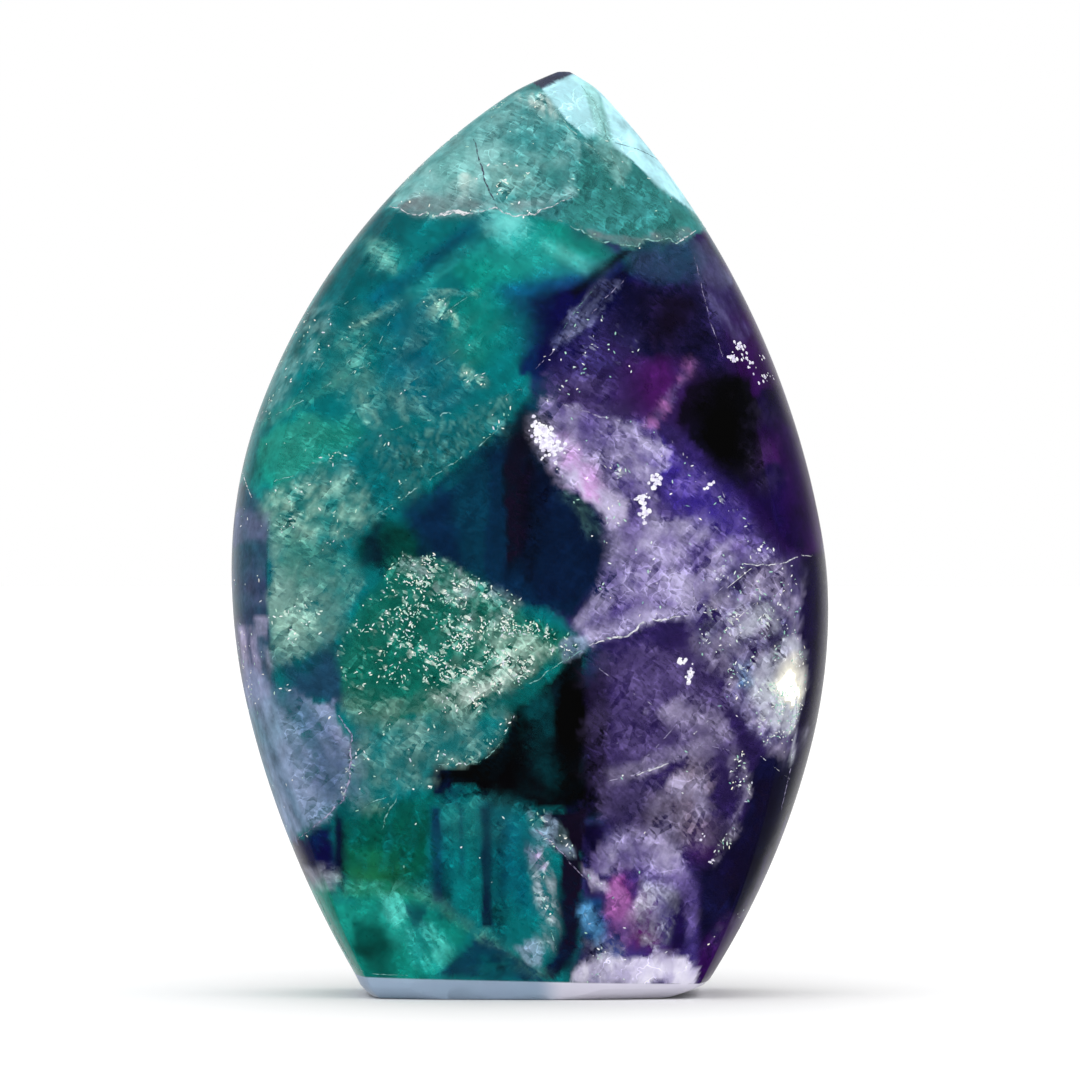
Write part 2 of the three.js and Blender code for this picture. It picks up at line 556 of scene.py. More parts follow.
GROWTH = (
    Patch("right_half", Tone.PURPLE, (
        (3, 77), (18, 77), (24, 66), (31, 45), (31, 30), (21, -1), (4.6, -1), (4.6, 20), (3, 30),
        (5.5, 35), (0, 40), (0, 60), (1, 68)), 0.9),
    CloudPatch("upper_left_dark", Tone.DARK_TEAL, (
        (-18, 78), (-12, 78), (-13, 73), (-17, 66), (-20.5, 64), (-22, 68)), 1.4, size=2.5),
    CloudPatch("petrol_core", Tone.PETROL, (
        (-15, 69.5), (-9.5, 69), (-9, 64), (-6.5, 60), (-9, 57.5), (-14, 58), (-15, 63)),
        1.8, size=3, contrast=0.5),
    Patch("upper_sea_green", Tone.SEA_GREEN, (
        (-7.5, 72.5), (-4, 75.5), (-1, 77.5), (3, 77), (6, 75), (8, 73.3), (5, 71.8), (-1, 70.5),
        (-6, 69.5)), 1.1),
    Patch("green_column", Tone.SEA_GREEN, (
        (-8.5, 69), (-5, 70), (-3.3, 68), (-4, 63), (-6, 61.5), (-8, 64)), 1, 0.5, 0.7),
    Patch("dark_diagonal_band", Tone.PETROL, (
        (-4.8, 77.8), (-3.9, 77), (-8.5, 73.1), (-12.5, 70.1), (-15.5, 68.3), (-16.3, 69.3), (-12.5, 72),
        (-9, 74.6)), 0.5, 0.2),
    Patch("dark_diagonal_core", Tone.SEA_BLUE, (
        (-4.8, 77.4), (-8.7, 74.1), (-10.5, 72.6), (-10.3, 72.1), (-8.3, 73.3)), 0.4, 0.15, 0.7),
    Patch("light_diagonal_band", Tone.LIGHT_TEAL, (
        (-4.7, 75.8), (-6.5, 74.6), (-9.5, 72.3), (-12, 70), (-11.5, 69.2), (-8.5, 71.6), (-5, 74.6)),
        0.4, 0.2),
    Patch("green_spot", Tone.LIGHT_TEAL, (
        (-15.6, 74.3), (-13.5, 74.6), (-12, 72.5), (-13.5, 71.2), (-15.3, 72.5)), 1.3, 0.5, 0.6),
    Patch("aqua_spread", Tone.LIGHT_TEAL, (
        (-4.3, 76), (0, 76), (3.5, 73.6), (6, 71.9), (1, 71.2), (-3, 72), (-5.2, 73.8)), 1.3, 0.5, 0.6),
    Patch("aqua_glow", Tone.AQUA, (
        (-3.9, 77.7), (-2.4, 78), (-0.9, 77.5), (-0.6, 76.2), (-1.8, 74.8), (-3, 75), (-4.1, 76.4)),
        0.8, 0.3),
    Patch("aqua_streak", Tone.AQUA_STREAK, (
        (1.6, 74.7), (2.2, 74.5), (4, 73.3), (6.1, 71.9), (5.4, 71.8), (3, 73.1)), 0.3, 0.15),
    Patch("blue_under_green", Tone.BLUE, (
        (-3.2, 70.2), (0, 71), (4.5, 71.8), (6, 71.2), (3, 69.4), (-1, 68)), 0.9, 0.5, 0.9),
    Patch("upper_navy", Tone.NAVY, (
        (-2, 69.2), (3.5, 70.4), (7, 71.6), (10.3, 74.3), (11, 72), (9, 68), (4.5, 64.5), (1, 61.2),
        (-0.8, 61.8), (-1, 66))),
    Patch("slate_corner", Tone.STEEL, (
        (9, 73.4), (10.6, 75), (13.5, 75.2), (16.2, 75.6), (17, 73), (15.5, 70.6), (12.5, 70), (10, 71.3)),
        0.7),
    Patch("night_right", Tone.NIGHT, (
        (9.5, 71.2), (12, 70.6), (15.5, 71), (17, 69), (18, 65.5), (16.5, 62), (11, 63.5), (8, 65.5),
        (8.2, 69))),
    Patch("diagonal_ink", Tone.INK, ((10.4, 74.2), (9.6, 73.3), (4.5, 69), (3.6, 69.8), (8.5, 73.6)),
          0.3, 0.15),
    Patch("wine_glow", Tone.WINE, ((10, 62.8), (13.5, 63), (14.8, 61), (12.7, 57.4), (11, 57), (9.5, 59)),
          1.2),
    Patch("right_wine", Tone.DARK_WINE, (
        (19, 68), (22.5, 68.5), (27, 58), (30, 47), (28.5, 43.4), (24.5, 44), (21, 49), (22.3, 54),
        (20, 61)), 0.7),
    CloudPatch("upper_dust", Tone.TEAL, (
        (-24, 60), (-20, 68), (-14, 75), (-5, 75.6), (0, 70), (-3, 60), (-10, 57), (-20, 57)),
        2.5, 1.4, 0.3, size=1.6, contrast=0.7, pale=Tone.LIGHT_TEAL, sparkle=0.04),
    Patch("glow_edge", Tone.AQUA_LIGHT, (
        (1.2, 75), (3.6, 73.6), (5.8, 72), (5.5, 71.6), (3.4, 72.8), (1.2, 74.2)), 0.25, 0.15, 0.2),
    Patch("diagonal_dark", Tone.DARK_TEAL, (
        (-3.6, 76.6), (-3, 75.7), (-9.4, 71.5), (-13.4, 69.6), (-13, 70.9), (-9, 73.5)), 0.35, 0.25, 0.5),
    Patch("right_indigo", Tone.INDIGO, (
        (22.5, 60.5), (25, 60.5), (27.2, 54), (28, 46), (27, 43.8), (24.5, 44.4), (21, 49), (22.3, 54))),
    Patch("right_wine_spot", Tone.WINE, ((22, 55), (24.5, 55.3), (24.8, 53.2), (22.8, 52.8)),
          0.8, 0.5, 0.6),
    Patch("right_ink", Tone.INK, (
        (15, 60.8), (17.5, 62.3), (21.5, 61.3), (22.6, 58), (22.3, 54), (21.3, 50), (19.5, 50.5),
        (17.5, 53.3), (14.3, 56.8)), 0.5),
    Patch("left_jade", Tone.JADE, (
        (-27, 55.5), (-22.5, 57.7), (-17.5, 57), (-16.6, 55), (-19.5, 53.5), (-22, 51.8), (-25, 49.8),
        (-26.6, 51)), 1.1),
    Patch("centre_blue", Tone.SEA_BLUE, (
        (-13, 48.3), (-9.5, 50.6), (-6, 53.4), (-2.5, 56.4), (-0.5, 59), (1.4, 59.4), (2, 54),
        (4.6, 50.2), (7, 47.6), (7.8, 44), (6.8, 41), (4.3, 37.8), (0, 38.8), (-4, 39.8), (-6.5, 42.2),
        (-10, 43.4), (-12.5, 44.3)), 0.4),
    Patch("centre_teal_column", Tone.DARK_TEAL, (
        (-8.5, 51.5), (-5.6, 53.8), (-4, 53), (-4.2, 40.3), (-6.4, 42)),
        0.5, 0.5, 0.3, grain=Grain.BANDS, size=1.6, turn=90),
    Patch("centre_ink_column", Tone.INK, (
        (-2.6, 56.2), (-0.4, 58.6), (0.6, 57.2), (0.2, 51), (-0.6, 43), (-2.4, 41.5)), 0.45, 0.5, 0.85),
    CloudPatch("blue_oval", Tone.NIGHT, (
        (-0.6, 52.6), (2, 51.5), (4.5, 50.1), (6.8, 47.6), (7.8, 44), (6.8, 41), (4.3, 39), (1, 39.4),
        (-0.8, 42)), 0.5, 0.5, 0.7, size=3, contrast=0.3),
    Patch("forest_pocket", Tone.DEEP_GREEN, (
        (-17.3, 45.7), (-14.3, 47.1), (-12, 47.2), (-11, 45), (-11.5, 43), (-15, 42.5), (-16.8, 43.3)),
        0.4),
    Patch("forest_shadow", Tone.NIGHT, ((-16.8, 46), (-14.8, 46.8), (-14.6, 42.8), (-16.3, 43)),
          0.3, 0.5, 0.7),
    Patch("fan_green", Tone.FAN_GREEN, (
        (-14, 43), (-8.3, 43.4), (-6, 42), (-4, 40), (1.5, 37.6), (4.6, 35.4), (2.3, 33.3), (-1, 30.9),
        (-5, 29.2), (-13, 27.5), (-18, 28.5), (-19.5, 34), (-17, 39)), 0.5),
    Patch("left_gap", Tone.STEEL, (
        (-25, 34.5), (-22.5, 33.6), (-19.5, 36), (-18.5, 31.5), (-19, 29.2), (-23.5, 30)), 0.7),
    CloudPatch("left_strip", Tone.SLATE, (
        (-31, 51.5), (-28.5, 51), (-26.5, 49), (-25.7, 47), (-25.6, 36), (-25, 31), (-31, 28)),
        0.15, 0.12, size=2.5, contrast=0.35),
    Patch("centre_black", Tone.INK, (
        (5.2, 34.4), (5.6, 30), (5.6, 20), (3.5, 18.8), (0, 19.3), (-4, 20.2), (-6, 21.4), (-9.3, 20.9),
        (-9.2, 23), (-5, 24), (-3, 26), (-2, 28.5), (0.5, 30.6), (3, 33)), 0.35),
    SilkPatch("black_green_silk", Tone.DARK_TEAL, ((-0.8, 30.2), (2.3, 31.5), (2.6, 20.3), (-0.6, 20.2)),
              0.7, 0.5, 0.5, size=0.9, turn=-30, contrast=1),
    Patch("lower_green", Tone.FOREST, (
        (-19, 18), (-14, 19.5), (-9.5, 20.6), (-9, 12), (-13, 11), (-19, 12)), 0.7),
    Patch("lower_fern", Tone.FERN, ((-18, 14.8), (-13, 15), (-12, 12.6), (-14, 11.6), (-18.2, 12.4)),
          0.9, 0.5, 0.8),
    Patch("lower_teal", Tone.TEAL, (
        (-9, 19.8), (-4, 20.2), (-0.6, 19.2), (-0.4, 9), (-2, 6), (-5, 8), (-8.5, 10.5)), 0.5),
    Patch("lower_blue_edge", Tone.PETROL, ((-4.5, 20), (-0.6, 19.2), (-0.4, 10), (-3.2, 10)),
          0.8, 0.5, 0.8),
    Patch("dark_band_left", Tone.PETROL, ((-9.9, 19.2), (-8.6, 19.4), (-8.5, 9.2), (-9.7, 9.5)),
          0.35, 0.15),
    Patch("dark_band_left_low", Tone.SEA_BLUE, ((-9.8, 13), (-8.6, 13), (-8.3, 9.2), (-9.6, 9.6)),
          0.4, 0.2, 0.8),
    Patch("dark_band_right", Tone.SEA_BLUE, ((-4.9, 19.3), (-3.6, 19.5), (-3.5, 7), (-4.8, 7.4)),
          0.3, 0.12, 0.85),
    Patch("dark_band_edge", Tone.NIGHT, ((-19.2, 18.6), (-18.3, 18.2), (-18.4, 12.8), (-19.1, 12.6)),
          0.2, 0.1),
    Patch("dark_notch", Tone.NIGHT, ((-9.3, 23.2), (-7.6, 23), (-7.6, 20.6), (-9.3, 20.6)), 0.4),
    Patch("left_foot_navy", Tone.NAVY, (
        (-24, 15.2), (-21.5, 17), (-19.5, 17.8), (-19, 13), (-21, 10.5), (-23, 12)), 0.4),
    Patch("corner_sea_green", Tone.SEA_GREEN, (
        (-22, 10.8), (-18, 12), (-13, 11.7), (-9, 9.8), (-6, 7), (-9, 2), (-17, 2), (-20, 5)), 0.4),
    Patch("corner_jade", Tone.JADE, ((-21.5, 10.3), (-17, 11.3), (-13.5, 10.6), (-15, 8.3), (-18.5, 6)),
          1.1, 0.5, 0.6),
    Patch("corner_dark", Tone.DEEP_GREEN, ((-17.5, 8), (-14.3, 7.8), (-12.8, 5), (-14.5, 3), (-17.5, 4.6)),
          1.2),
    Patch("corner_blue", Tone.SEA_BLUE, ((-12.3, 9.4), (-10, 9.2), (-10, 7), (-11.8, 6.3)), 0.6, 0.5, 0.85),
    SilkPatch("corner_aqua_high", Tone.AQUA_STREAK, (
        (-14.7, 10.4), (-12.9, 10.7), (-12.4, 8.6), (-13.2, 7.3)), 0.5, 0.5, 0.85, size=0.8, turn=-60),
    SilkPatch("corner_aqua_low", Tone.AQUA, (
        (-12.4, 7.6), (-9, 7.8), (-7.6, 5.2), (-9.8, 2.8), (-11.6, 3.2)),
        0.6, 0.5, 0.5, size=0.8, turn=-62, contrast=0.9),
    Patch("foot_triangle", Tone.SEA_BLUE, (
        (-9.6, 2.2), (-6, 5.6), (-4.5, 6.5), (-1, 4.2), (2, 1.9), (-3, 1.8)), 0.25, 0.15),
    Patch("foot_triangle_green", Tone.DARK_TEAL, ((-4.8, 4.4), (-2, 4), (-1.6, 2.6), (-4.6, 2.6)), 0.7),
    Patch("dark_stripe", Tone.NIGHT, (
        (0.5, 18.7), (5.6, 19.4), (5.3, 13), (5, 4.6), (2.4, 2.2), (1.4, 2.4), (2.9, 7), (2.8, 10),
        (3, 14)), 0.35),
    Patch("low_violet", Tone.FAN_PURPLE, ((5.2, 18), (15, 17), (17, 12), (16.5, 2), (4.6, 1.6), (5, 8)),
          0.5),
    Patch("low_violet_dark", Tone.INDIGO, ((5.3, 17), (7.6, 17.2), (7.4, 14.6), (5.6, 13.4)), 0.6),
    Patch("low_magenta", Tone.MAGENTA, ((7.5, 11.8), (9.3, 12.6), (10.2, 11), (9.9, 7.4), (7.9, 7)), 0.7),
    Patch("low_purple", Tone.WINE, ((8, 7.4), (11.2, 7.3), (12.4, 5.6), (9.4, 5.4)), 0.6),
    Patch("low_blue", Tone.SPOT_BLUE, ((5.2, 10), (7, 10.2), (7.2, 6.6), (6.2, 5.2), (5, 6)), 0.4),
    Patch("low_dark_column", Tone.INDIGO, ((13.6, 10.6), (15.4, 10.6), (15.4, 4.6), (13.8, 4.6)), 0.5),
    Patch("mauve_field", Tone.PURPLE, ((5.7, 34), (16, 36), (20, 26), (21, 20), (17, 13), (6, 18)), 0.6),
    Patch("mauve_dark", Tone.NIGHT, ((6, 21.3), (9.5, 22.2), (12.5, 22), (13, 18.5), (9, 17.4), (6, 18.2)),
          0.7, 0.5, 0.7),
    Patch("mauve_wine", Tone.WINE, ((15, 16.4), (17.8, 17.5), (18, 14), (15.5, 13.5)), 0.7, 0.5, 0.6),
    Patch("right_low_night", Tone.NIGHT, (
        (16.5, 12.4), (18.4, 14.2), (20.4, 17.4), (21.4, 20.5), (22.3, 24), (26.5, 25), (27, 20),
        (24.2, 15), (22, 10.6), (19, 5.8), (16.6, 4.8)), 0.4),
    Patch("right_low_wine", Tone.DARK_WINE, (
        (16.6, 5), (19, 6), (21.5, 8.5), (20, 4), (18, 1.6), (16.4, 2)), 0.6),
    Patch("right_haze_field", Tone.PURPLE, (
        (16.6, 43.5), (26.8, 43), (26.8, 30), (26, 24.5), (22, 25), (19, 31), (16.6, 37)), 0.4),
    Patch("right_edge_ink", Tone.INDIGO, ((26.6, 43.4), (31, 45), (31, 30), (27, 20), (26, 24), (26.6, 30)),
          0.25, 0.15),
    Patch("fan_field", Tone.FAN_PURPLE, (
        (1.2, 59), (6, 57.6), (11.5, 56.9), (16, 52.3), (20.5, 48), (24.7, 43.8), (20, 42.5), (16.5, 38),
        (12, 37.4), (8.5, 35.8), (5.8, 35), (4.5, 37.6), (6.8, 41), (7.8, 44), (7, 47.5), (4.5, 50),
        (2, 53)), 0.3, 0.3),
    Patch("fan_violet", Tone.VIOLET, ((11, 54), (13, 55.4), (16.5, 52), (20, 48), (17.5, 46), (13.5, 49)),
          1.2),
    Patch("tip_field", Tone.CLOUD_TEAL, (
        (-14.5, 78.3), (-9, 86), (0, 91), (5, 92), (12, 86), (17.6, 76.4), (16.3, 75.6), (14.6, 74.8),
        (11.5, 75), (10.7, 74.2), (6.5, 75.1), (2.7, 76.8), (-0.3, 77.4), (-3.2, 78), (-6, 77.6),
        (-10, 77.4)), 0.2, 0.15),
    Patch("tip_shade_field", Tone.SHADE_TEAL, (
        (4.8, 79.5), (5.1, 84.4), (7.6, 85), (12.5, 80.6), (16.8, 77.4), (16.3, 75.6), (14.6, 74.8),
        (11.5, 75), (10.7, 74.2), (6.5, 75.1), (2.9, 76.9)), 0.35),
    Patch("tip_wedge_left", Tone.PALE_AQUA, (
        (1.2, 90.3), (4.4, 92), (5.8, 91.4), (7, 89.5), (7.1, 85.7), (5.8, 85.3), (3.6, 87), (2.2, 89)),
        0.12, 0.1),
    Patch("tip_wedge_right", Tone.PALE_AQUA, (
        (5.2, 91.6), (8.5, 91), (13, 86), (16.8, 79), (16.2, 78.2), (15.2, 78.7), (12.5, 80.7),
        (9.9, 83.3), (8.3, 84.4), (7.6, 86.5), (7, 89.5)), 0.15, 0.1),
    Patch("tip_chip", Tone.CHIP, ((0.2, 91), (3.3, 92.8), (5, 92.2), (4.6, 91.7), (3, 91), (1.2, 90.2)),
          0.1, 0.08),
)

VEILS = (
    Patch("centre_black_core", Tone.BLACK, (
        (5.2, 34.2), (5.5, 30), (5.5, 20.4), (3.5, 19.2), (2.4, 20.4), (2.6, 30.6), (3, 32.6)),
        0.9, 0.5, 0.9),
    Patch("centre_black_side", Tone.BLACK, (
        (-9, 22.8), (-5, 23.8), (-3, 25.8), (-1.8, 28), (-0.6, 29.4), (-0.8, 21), (-4, 21), (-6, 21.8),
        (-9, 21.4)), 0.8, 0.5, 0.7),
    Patch("right_black", Tone.BLACK, (
        (15.6, 58.6), (17, 60.8), (19.6, 60.6), (20.8, 58), (20.6, 54), (20, 51), (18.8, 52),
        (17.6, 54.4), (16, 56.4)), 1.5, 1, 0.85),
    Patch("upper_black", Tone.WINE_BLACK, (
        (9.8, 70.6), (13, 69.8), (15.6, 69.6), (16.6, 66), (14, 64), (10, 65.6)), 1.8, 1, 0.6),
    Patch("stripe_black", Tone.WINE_BLACK, (
        (2.6, 18.4), (5.4, 19), (5.2, 13), (4.9, 4.8), (2.8, 2.8), (3, 7), (2.9, 10), (3.1, 14)),
        0.6, 0.3, 0.7),
    Patch("right_low_black", Tone.WINE_BLACK, (
        (17, 11.6), (20, 15), (22.6, 22), (25, 22), (23, 14), (19.6, 7), (17, 6.4)), 1.6, 0.9, 0.45),
    Patch("ink_column", Tone.WINE_BLACK, (
        (-2.4, 55.6), (-0.5, 57.8), (0.4, 56.8), (0.1, 51), (-0.7, 44), (-2.2, 43)), 0.6, 0.3, 0.5),
    Patch("aqua_light", Tone.AQUA_LIGHT, (
        (-3.7, 77.4), (-2.4, 77.9), (-1, 77.3), (-0.8, 76), (-2, 75.4), (-3.6, 76.2)), 0.9, 0.4, 0.7),
    CloudPatch("tip_cloud", Tone.CLOUD_TEAL, (
        (-14.2, 78.4), (-12.3, 81.5), (-9, 85), (-5, 87.8), (0, 90.2), (1.2, 90), (2.3, 88.6),
        (3.6, 86.8), (5.1, 84.6), (5, 82.5), (4.3, 81), (4.6, 79.6), (3.2, 78.6), (1.2, 77.7),
        (-0.3, 77.4), (-2, 77.6), (-3.2, 78), (-6, 77.6), (-10, 77.4), (-12.5, 77.9)),
        0.2, 0.2, 0.6, size=2.8, contrast=0.45, pale=Tone.CLOUD_PALE, sparkle=0.05, edge=0.5),
    CloudPatch("tip_depth", Tone.SHADE_TEAL, (
        (-4, 83), (-1, 84.4), (3, 83.6), (4.2, 81.4), (2, 79.6), (-2, 79.4), (-4, 80.6)),
        1.8, 1, 0.6, size=2.2),
    CloudPatch("tip_left_depth", Tone.SHADE_TEAL, ((-10.5, 82.5), (-6, 85), (-5.2, 81.2), (-9, 80.4)),
               1.2, 0.8, 0.5, size=1.2),
    SilkPatch("tip_streaks", Tone.CLOUD_PALE, ((-5, 84.6), (-1, 84.6), (3, 83), (0, 81.6), (-4.6, 82)),
              0.8, 0.6, 0.3, size=0.8, turn=-12, contrast=0.95, sparkle=0.1),
    CloudPatch("tip_flecks", Tone.FROST, ((-4, 82.6), (-1, 82.8), (0.6, 81), (-0.6, 79.4), (-3.4, 79.6)),
               0.8, 0.4, 0.1, size=0.6, sparkle=0.5),
    CloudPatch("tip_dust", Tone.DUST, (
        (-13.6, 78.8), (-10, 79.6), (-6, 79.8), (-3.8, 79.2), (-3.4, 78.1), (-6, 77.7), (-10, 77.5),
        (-12.5, 78)), 0.5, 0.5, 0.35, size=0.9, sparkle=0.1),
    CloudPatch("fracture_shadow", Tone.RUST_DUST, (
        (-13.2, 78.5), (-9.6, 78.9), (-5.6, 79), (-3.4, 78.5), (-5, 78), (-10, 77.7), (-12.4, 78)),
        0.3, 0.4, 0.65, size=0.6),
    CloudPatch("tip_dust_right", Tone.DUST, (
        (-3, 78.6), (0.5, 78.8), (3.8, 80.4), (4.6, 79.4), (1.2, 77.8), (-1.5, 77.5)),
        0.4, 0.4, 0.35, size=0.7, contrast=0.8, sparkle=0.1),
    CloudPatch("tip_pale_patch", Tone.FROST, (
        (-7.8, 80.4), (-6.6, 81.5), (-5.2, 81.2), (-5.3, 79.9), (-6.6, 79.7)),
        0.7, 0.5, 0.4, size=0.5, contrast=0.9),
    SilkPatch("chip_frost", Tone.FROST, (
        (-1, 89.3), (0.6, 90), (2, 88.8), (3, 87.4), (1.4, 87.6), (0, 88.2)),
        0.4, 0.5, 0.75, size=0.4, turn=100, contrast=1, sparkle=0.35),
    CloudPatch("tip_shade", Tone.SHADE_TEAL, (
        (4.8, 79.6), (5.1, 82.5), (5.3, 84.4), (6.2, 85.2), (7.6, 84.8), (10, 82.9), (12.5, 80.5),
        (15.2, 78.4), (16.8, 77.6), (17.2, 76.2), (16.3, 75.6), (14.6, 74.8), (13.5, 75.2), (11.5, 75),
        (10.7, 74.2), (8.8, 74.6), (6.5, 75.2), (4.6, 76.2), (2.8, 76.9), (3.4, 78.4)),
        0.25, 0.2, 0.5, size=1.6, pale=Tone.CLOUD_TEAL, sparkle=0.05, edge=0.35),
    SilkPatch("shade_fold", Tone.WEDGE_FOLD, (
        (5.4, 84.6), (8, 84.8), (10, 83), (9.4, 80.6), (8.6, 80.2), (7.6, 82.6)),
        0.5, 0.3, 0.45, size=0.8, turn=125, contrast=0.7),
    CloudPatch("shade_dust", Tone.DARK_DUST, (
        (4.4, 76.6), (6.5, 75.8), (8.8, 75.3), (10.6, 75.2), (12.2, 75.8), (14, 75.9), (16, 76.3),
        (16.3, 75.6), (14.6, 74.8), (11.5, 75), (10.7, 74.2), (8.8, 74.6), (6.5, 75.2)),
        0.3, 0.3, 0.6, size=0.6, sparkle=0.12),
    # painted light: wedge_left and wedge_right lay the pale aqua of the backlight through the thin tip on
    # as a cloudy cover, so it shows whatever the bevel refracts
    Patch("wedge_left", Tone.WEDGE, (
        (1.2, 90.3), (4.4, 91.9), (5.3, 91.6), (5.6, 89.6), (6.6, 86), (5.6, 85.4), (3.6, 87), (2.2, 89)),
        0.12, 0.06, 0.8, fade=-70, fade_amount=0.25),
    SilkPatch("wedge_fold", Tone.WEDGE_FOLD, (
        (4.9, 91.4), (6.3, 91.2), (7.6, 88.4), (8.4, 84.6), (7, 85), (6, 87.8)),
        0.2, 0.25, 0.85, size=0.7, turn=108, contrast=0.35, pale=Tone.CLOUD_PALE),
    Patch("wedge_right", Tone.WEDGE, (
        (5.6, 92.2), (9.5, 91), (14, 86), (17.6, 78.8), (16.4, 78), (15.2, 78.7), (12.5, 80.7),
        (9.9, 83.3), (8.4, 84.5), (8, 86.5), (7.2, 89.3)), 0.15, 0.06, 0.88),
    CloudPatch("wedge_end", Tone.WEDGE_FOLD, ((14, 82), (16, 81), (17.6, 77.6), (16.4, 77.8), (15, 79)),
               0.8, 0.4, 0.55, size=0.9),
    SilkPatch("bevel_slate", Tone.SLATE_LILAC, (
        (16.3, 75), (17.9, 74.8), (20.2, 71), (19, 70.2), (16.9, 70.8)),
        0.4, 0.3, 0.4, size=0.8, turn=-65, contrast=0.5),
    SilkPatch("bevel_dusk", Tone.DUSK, ((17, 69.8), (20, 70), (22.2, 66), (20.5, 64.6), (18.5, 66)),
              0.7, 0.4, 0.45, size=1, turn=-62, contrast=0.8, pale=Tone.SMOKE),
    CloudPatch("slate_facet", Tone.SLATE, (
        (9.6, 73.6), (12.6, 74.4), (15.6, 74.6), (15.8, 72), (12.5, 70.6), (10.4, 71.4)),
        0.8, 0.4, 0.3, size=1.4),
    CloudPatch("night_haze", Tone.DUSK, (
        (8.5, 70), (12, 72.6), (16.4, 73), (19, 68.6), (20.6, 64.4), (17, 63), (13, 64.6), (9.6, 66)),
        1.6, 1.4, 0.09, size=1.3, contrast=1, pale=Tone.FAN_PURPLE),
    CloudPatch("wine_streak", Tone.MAUVE, (
        (11.4, 56.6), (12.4, 56.4), (14, 58.4), (15.4, 60.6), (16.4, 62.6), (15.8, 62.8), (14, 60.8),
        (12.6, 58.6)), 0.35, 0.4, 0.55, size=0.8, pale=Tone.ROSE),
    CloudPatch("right_dusk", Tone.DUSK, (
        (21, 58.6), (24.6, 59), (26.4, 55), (25.6, 51), (22.6, 50.6), (21.4, 54)),
        1.2, 1, 0.08, size=1, contrast=1, pale=Tone.MAUVE),
    CloudPatch("right_wine", Tone.DARK_WINE, (
        (24.8, 57), (28.4, 56), (29.6, 49), (28.6, 44), (26, 46), (25, 51)),
        1.3, 0.8, 0.55, size=1.4, contrast=0.4),
    SilkPatch("diagonal_veil", Tone.SLATE, (
        (2, 64.8), (4, 68), (7, 71), (9, 70.8), (8, 68.8), (5.8, 66.6), (4, 64.8), (2.4, 64)),
        0.3, 0.3, 0.7, size=0.55, turn=46, contrast=0.85, pale=Tone.SLATE_LILAC, sparkle=0.1, fade=0,
        fade_amount=0.4),
    CloudPatch("dusk_veil", Tone.DUSK, (
        (2.4, 64), (6, 66.6), (9, 68.6), (9.5, 66), (11, 65.2), (10.5, 62.5), (8, 60.8), (3, 60.4),
        (1.8, 62.4)), 1, 0.8, 0.5, size=1.2, contrast=0.8, sparkle=0.28, fade=0, fade_amount=0.5),
    CloudPatch("dusk_low", Tone.MAUVE, (
        (1.6, 61.6), (4.5, 62), (8, 60), (10.6, 57.6), (7, 57.6), (2, 59.2)),
        1, 0.6, 0.3, size=1, contrast=0.8, sparkle=0.08),
    CloudPatch("edge_band", Tone.BAND, (
        (-21.6, 69), (-19.8, 69), (-19.2, 67), (-21, 63.6), (-23.6, 60), (-25.8, 56.8), (-27.4, 57),
        (-24.6, 63)), 0.8, 0.9, 0.32, size=0.7, contrast=1, pale=Tone.CLOUD_PALE, sparkle=0.22),
    SilkPatch("edge_dashes", Tone.CLOUD_PALE, ((-24.6, 62.6), (-23.2, 62), (-24, 59.4), (-25.6, 59.6)),
              0.6, 0.4, 0.6, size=0.4, turn=80, contrast=1, sparkle=0.3),
    CloudPatch("jade_bloom", Tone.LEDGE, (
        (-26.6, 55), (-22.5, 57.4), (-18, 56.8), (-17, 55), (-20, 53.4), (-24.6, 50.6)),
        1.4, 0.8, 0.4, size=1.6, contrast=0.5, pale=Tone.LEDGE, sparkle=0.06),
    SilkPatch("green_seam", Tone.LEDGE, (
        (-28, 56), (-24.5, 58.6), (-21, 60.6), (-17, 62.6), (-18, 61), (-21, 59), (-26, 56.4)),
        0.4, 0.3, 0.45, size=0.5, turn=30),
    CloudPatch("green_cloud", Tone.LEDGE, (
        (-20, 66), (-15.5, 67.3), (-14, 64), (-15, 60.5), (-18, 60), (-20, 62)),
        1.8, 1.4, 0.3, size=1.6, contrast=0.7, pale=Tone.HAMMERED_PALE, sparkle=0.1),
    CloudPatch("green_haze_low", Tone.LEDGE, (
        (-17, 60.6), (-11, 61), (-10, 57.4), (-14, 56.6), (-16.6, 57.6)),
        1.6, 1.2, 0.28, size=1.3, contrast=0.8, pale=Tone.HAMMERED_PALE, sparkle=0.12),
    SilkPatch("green_dust", Tone.LEDGE, (
        (-16, 68), (-9, 69), (-5, 67), (-4.6, 60.6), (-10, 58.6), (-15, 60)),
        2, 1.4, 0.11, size=0.8, turn=36, contrast=1, pale=Tone.HAMMERED_PALE, sparkle=0.05),
    SilkPatch("slant_flash", Tone.LEDGE_PALE, (
        (-17.8, 66.3), (-15.5, 67.6), (-13, 69), (-13.2, 68.4), (-15.6, 66.6)),
        0.35, 0.3, 0.5, size=0.35, turn=34, contrast=0.9, sparkle=0.1),
    SilkPatch("green_streak", Tone.LEDGE_PALE, ((-17.8, 60.8), (-17, 60.6), (-15.2, 57), (-15.8, 56.6)),
              0.4, 0.5, 0.45, size=0.4, turn=-62, contrast=0.9, sparkle=0.25),
    CloudPatch("green_streak_two", Tone.LEDGE_PALE, (
        (-13.6, 59.4), (-12.8, 59.2), (-11.6, 56.8), (-12.2, 56.8)),
        0.3, 0.3, 0.5, size=0.4, contrast=0.9, sparkle=0.2),
    CloudPatch("centre_dust", Tone.LEDGE_PALE, (
        (-9.8, 69.2), (-8, 69.4), (-7.4, 66.8), (-8.4, 66.6), (-9.6, 67.8)),
        0.6, 0.6, 0.45, size=0.5, contrast=1, sparkle=0.3),
    CloudPatch("centre_specks", Tone.LEDGE_PALE, (
